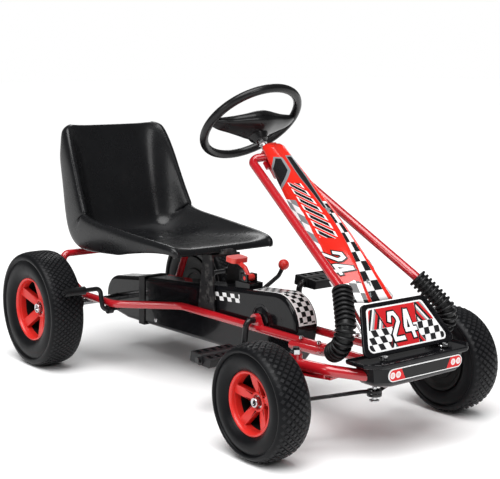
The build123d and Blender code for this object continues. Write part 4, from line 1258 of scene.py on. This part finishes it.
# ---- numbers ------------------------------------------------------------------------------------
NUMBER_LAYERS = (  # name, half width of a stroke, height over the plate's plane, ink
    ("number_edge", 0.0064, 0.0033, "black_ink"), ("number_fill", 0.0036, 0.0038, "white_ink"))
PLATE_DIGIT, PLATE_STEP = 0.046, 0.032      # height of a digit and distance to the next
COVER_DIGIT, COVER_STEP, COVER_STROKE, COVER_SINK = 0.038, 0.0275, 0.95, 0.0022


def make_numbers(text):
    """The white digits over their black edges, on the panel and on both faces of the cover."""
    for name, half, lift, ink in NUMBER_LAYERS:
        up = Vector((0, 0, lift))
        make_number("plate_" + name, text, PLATE_DIGIT, half, PLATE_STEP, ink,
                    lambda p: PLATE_PLACE @ (p + up))
        for side, outward in SIDES:
            make_number(f"cover_{name}_{side}", text, COVER_DIGIT, half * COVER_STROKE, COVER_STEP, ink,
                        lambda p: cover_spot(p, outward, lift - COVER_SINK))


# ---- chain case and screws ----------------------------------------------------------------------
def make_case_details():
    """The round boss on each side of the chain case, where the crank comes out."""
    centre = Vector((0.124, 0, 0.170))
    for side, outward in SIDES:
        boss = turned([(7.8, 27.0), (7.8, 31.4), (20, 31.4), (24, 29.6), (25, 27.0)], 8, outward)
        ring = turned([(26, 27.0), (26, 28.9), (29, 28.9), (30, 27.0)], 40, outward)
        verts, faces = gather(boss, ring)
        piece(f"case_boss_{side}", [v + centre for v in verts], faces, "gloss_black", "chassis",
              "black_plastic", 30)


# each screw's place and the way it faces
CHASSIS_SCREWS = [((505, 72, 176), (0, 0, 1)), ((505, -72, 176), (0, 0, 1)),
                  *[((x, s * 28, z), (0, s, 0)) for s in (-1, 1) for x, z in ((-250, 100), (150, 102))]]
SEAT_SCREWS = [((-62, 22, 288.5), (0, 0, 1)), ((-62, -22, 288.5), (0, 0, 1)),
               ((-300, 22, 275), (0, 0, 1)), ((-300, -22, 275), (0, 0, 1))]


def make_screws(name, spots, body, tree):
    mesh = bpy.data.meshes.new(name)
    mesh.from_pydata([Vector(p) * MM for p, _ in spots], [], [])
    facing = mesh.attributes.new("facing", "FLOAT_VECTOR", "POINT")
    facing.data.foreach_set("vector", [c for _, way in spots for c in way])
    made = bpy.data.objects.new(name, mesh)
    bpy.context.scene.collection.objects.link(made)
    made = tree.bake(made)
    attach(made, body)


# ---- finishes of the CAD nodes ------------------------------------------------------------------
NODE_FINISHES = {  # the starts of the names of the nodes with each finish
    "red_tube_paint": "side_rail front_axle_tube kingpin_bracket cross_member seat_hoop stay_tube "
                      "steering_head",
    "moulded_red": "steering_wheel_cap brake_grip selector_lever",
    "black_paint": "axle_bracket knuckle_left knuckle_right tie_rod crank seat_rail seat_slider brake_lever "
                   "brake_rod brake_shaft brake_clamps seat_front_post",
    "bright_zinc": "knuckle_nuts axle_nuts rear_axle frame_bolts steering_column",
    "oiled_steel": "rear_sprocket chain_wheel",
    "gloss_black": "nose_bumper number_panel selector_base case_rear_cap",
    "satin_black": "pedal case_strap",
    "case_black": "chain_case",
    "nose_print": "light_strip",
    "bellows_black": "brake_pads",
}


def finish_of_node(node):
    """The finish with the longest matching start."""
    if node == "chain":
        return "oiled_steel"
    matches = [(len(stem), name) for name, stems in NODE_FINISHES.items() for stem in stems.split()
               if node.startswith(stem)]
    return max(matches)[1] if matches else "satin_black"


def finish_cad_nodes():
    for node, made in NODES.items():
        material = finish(finish_of_node(node))
        made.data.materials.clear()
        made.data.materials.append(material)


# ---- stage --------------------------------------------------------------------------------------
AMBIENT, SUN_POWER, SUN_SPREAD, FLOOR_REACH = 0.14, 3.9, radians(50), 30.0
LAMPS = (  # name, place, aim, size, watts
    ("key_light", (2.6, -0.4, 1.9), (0.1, 0, 0.2), 0.9, 16),
    ("side_light", (0.2, -2.8, 1.5), (0.0, 0, 0.25), 0.9, 14),
    ("back_light", (-2.2, 1.6, 2.2), (0.0, 0, 0.3), 1.0, 14))
LENS, SENSOR_WIDTH = 82.66, 36.0
VIEW_FROM, VIEW_AT = Vector((1.839, -1.395, 0.668)), Vector((0.1249, -0.0556, 0.3295))


def aimed(name, data, place, way):
    """Adds a light or camera that looks along a direction."""
    made = bpy.data.objects.new(name, data)
    made.location = place
    made.rotation_euler = Vector(way).to_track_quat("-Z", "Y").to_euler()
    bpy.context.scene.collection.objects.link(made)
    return made


def make_stage(strength):
    """A pale floor that runs into a white surround, one broad soft light, three panels and the camera."""
    scene = bpy.context.scene
    floor_finish = Finish("pale_floor", (0.94, 0.94, 0.94), 0.6, specular=0.1)
    floor_finish.shade(floor_finish.noise(1.3, 3), 0.985, 1.01)
    floor_finish.roughness = floor_finish.noise(6, 3) * 0.2 + 0.35
    mesh = bpy.data.meshes.new("floor")
    corners = [(x * FLOOR_REACH, y * FLOOR_REACH, 0) for x, y in ((-1, -1), (1, -1), (1, 1), (-1, 1))]
    mesh.from_pydata(corners, [], [(0, 1, 2, 3)])
    mesh.materials.append(floor_finish.done())
    floor = bpy.data.objects.new("floor", mesh)
    scene.collection.objects.link(floor)
    world = bpy.data.worlds.new("studio")
    world.use_nodes = True
    sky = Tree(world.node_tree.nodes, world.node_tree.links)
    seen = sky.add("ShaderNodeLightPath").outputs["Is Camera Ray"]
    level = Field(sky, seen) * (1.0 - AMBIENT * strength) + AMBIENT * strength
    sky.put(world.node_tree.nodes["Background"].inputs["Strength"], level)
    world.node_tree.nodes["Background"].inputs["Color"].default_value = (1.0, 1.0, 1.0, 1)
    scene.world = world
    sun = bpy.data.lights.new("soft_sun", "SUN")
    sun.energy, sun.angle = SUN_POWER * strength, SUN_SPREAD
    aimed("soft_sun", sun, (0, 0, 0), (-0.25, 0.3, -1.0))
    for name, place, aim, size, power in LAMPS:
        lamp = bpy.data.lights.new(name, "AREA")
        lamp.size, lamp.energy = size, power * strength
        aimed(name, lamp, place, Vector(aim) - Vector(place))
    camera = bpy.data.cameras.new("camera")
    camera.lens, camera.sensor_width = LENS, SENSOR_WIDTH
    scene.camera = aimed("camera", camera, VIEW_FROM, VIEW_AT - VIEW_FROM)
    scene.view_settings.view_transform = "Standard"


# ---- add-on -------------------------------------------------------------------------------------
class KartSizes(bpy.types.PropertyGroup):
    knob_height: bpy.props.FloatProperty(
        name="Tread height", description="Height of the tyre blocks, as a share of the usual one",
        default=1.0, min=0.2, max=1.5, subtype="FACTOR")
    ribs: bpy.props.IntProperty(
        name="Bellows ribs", description="Number of ribs on each bellows", default=17, min=6, max=40)
    seat_wall: bpy.props.FloatProperty(
        name="Seat wall", description="Thickness of the seat shell", default=0.0035, unit="LENGTH")
    light: bpy.props.FloatProperty(
        name="Light", description="Strength of the studio light", default=1.0, min=0.1, subtype="FACTOR")
    number: bpy.props.StringProperty(
        name="Number", description="Digits on the plate and the cover", default="24")


def color_property(label, description, default):
    return bpy.props.FloatVectorProperty(name=label, description=description, default=default, size=3,
                                         min=0.0, max=1.0, subtype="COLOR")


class KartColours(bpy.types.PropertyGroup):
    tube_red: color_property("Tube paint", "Colour of the frame tubes", (0.43, 0.008, 0.014))
    rim_red: color_property("Rims", "Colour of the moulded rims", (0.66, 0.024, 0.018))
    fairing_red: color_property("Fairing", "Colour of the cover in front of the column", (0.66, 0.02, 0.011))
    case_black: color_property("Chain case", "Colour of the chain case and nose", (0.005, 0.005, 0.006))
    seat_black: color_property("Seat", "Colour of the seat shell", (0.0065, 0.0067, 0.0075))


class KART_OT_finishes(bpy.types.Operator):
    """Give every CAD node its paint, plastic or metal"""
    bl_idname = "kart.finishes"
    bl_label = "Frame finishes"

    def execute(self, context):
        finish_cad_nodes()
        return {"FINISHED"}


class KART_OT_wheels(bpy.types.Operator):
    """Make the tyres with their tread and the five-spoked rims"""
    bl_idname = "kart.wheels"
    bl_label = "Wheels"

    def execute(self, context):
        tree = tread_tree()
        for kind in WHEELS:
            for side, outward in SIDES:
                make_tyre(kind, side, outward, tree, context.scene.kart_sizes.knob_height)
                make_rim(kind, side, outward)
        return {"FINISHED"}


class KART_OT_bellows(bpy.types.Operator):
    """Make the stays and the ribbed bellows over their lower ends"""
    bl_idname = "kart.bellows"
    bl_label = "Stays and bellows"

    def execute(self, context):
        tree = rib_tree()
        for side, outward in SIDES:
            make_stay(side, outward)
            make_bellows(side, outward, tree, context.scene.kart_sizes.ribs)
        return {"FINISHED"}


class KART_OT_steering(bpy.types.Operator):
    """Make the steering wheel and the collar under it"""
    bl_idname = "kart.steering"
    bl_label = "Steering wheel"

    def execute(self, context):
        make_steering_wheel()
        return {"FINISHED"}


class KART_OT_seat(bpy.types.Operator):
    """Make the moulded bucket seat and the bow under it"""
    bl_idname = "kart.seat"
    bl_label = "Seat"

    def execute(self, context):
        make_seat(context.scene.kart_sizes.seat_wall)
        make_hoop()
        return {"FINISHED"}


class KART_OT_bodywork(bpy.types.Operator):
    """Make the fairing, the plate's picture and numbers, and the chain case's bosses"""
    bl_idname = "kart.bodywork"
    bl_label = "Bodywork"

    def execute(self, context):
        make_fairing()
        make_nose()
        make_plate_backing()
        make_plate_picture()
        make_numbers(context.scene.kart_sizes.number)
        make_case_details()
        return {"FINISHED"}


class KART_OT_screws(bpy.types.Operator):
    """Make the screw heads on the nose, the chain case and the seat"""
    bl_idname = "kart.screws"
    bl_label = "Screws"

    def execute(self, context):
        tree = screw_tree()
        make_screws("chassis_screws", CHASSIS_SCREWS, "chassis", tree)
        make_screws("seat_screws", SEAT_SCREWS, "seat", tree)
        return {"FINISHED"}


class KART_OT_stage(bpy.types.Operator):
    """Make the pale floor, the soft lights and the camera"""
    bl_idname = "kart.stage"
    bl_label = "Stage"

    def execute(self, context):
        make_stage(context.scene.kart_sizes.light)
        return {"FINISHED"}


STEPS = (KART_OT_finishes, KART_OT_wheels, KART_OT_bellows, KART_OT_steering, KART_OT_seat, KART_OT_bodywork,
         KART_OT_screws, KART_OT_stage)


class KART_PT_panel(bpy.types.Panel):
    bl_idname = "KART_PT_panel"
    bl_label = "Pedal go kart"
    bl_space_type = "VIEW_3D"
    bl_region_type = "UI"
    bl_category = "Kart"

    def draw(self, context):
        for group in (context.scene.kart_sizes, context.scene.kart_colours):
            for name in group.bl_rna.properties.keys():
                if name not in ("rna_type", "name"):
                    self.layout.prop(group, name)
        for step in STEPS:
            self.layout.operator(step.bl_idname)


CLASSES = (KartSizes, KartColours, *STEPS, KART_PT_panel)


def register():
    for cls in CLASSES:
        bpy.utils.register_class(cls)
    bpy.types.Scene.kart_sizes = bpy.props.PointerProperty(type=KartSizes)
    bpy.types.Scene.kart_colours = bpy.props.PointerProperty(type=KartColours)


def unregister():
    del bpy.types.Scene.kart_sizes, bpy.types.Scene.kart_colours
    for cls in reversed(CLASSES):
        bpy.utils.unregister_class(cls)


def main():
    register()
    for step in STEPS:
        group, _, name = step.bl_idname.partition(".")
        getattr(getattr(bpy.ops, group), name)()


if __name__ == "__main__":
    main()
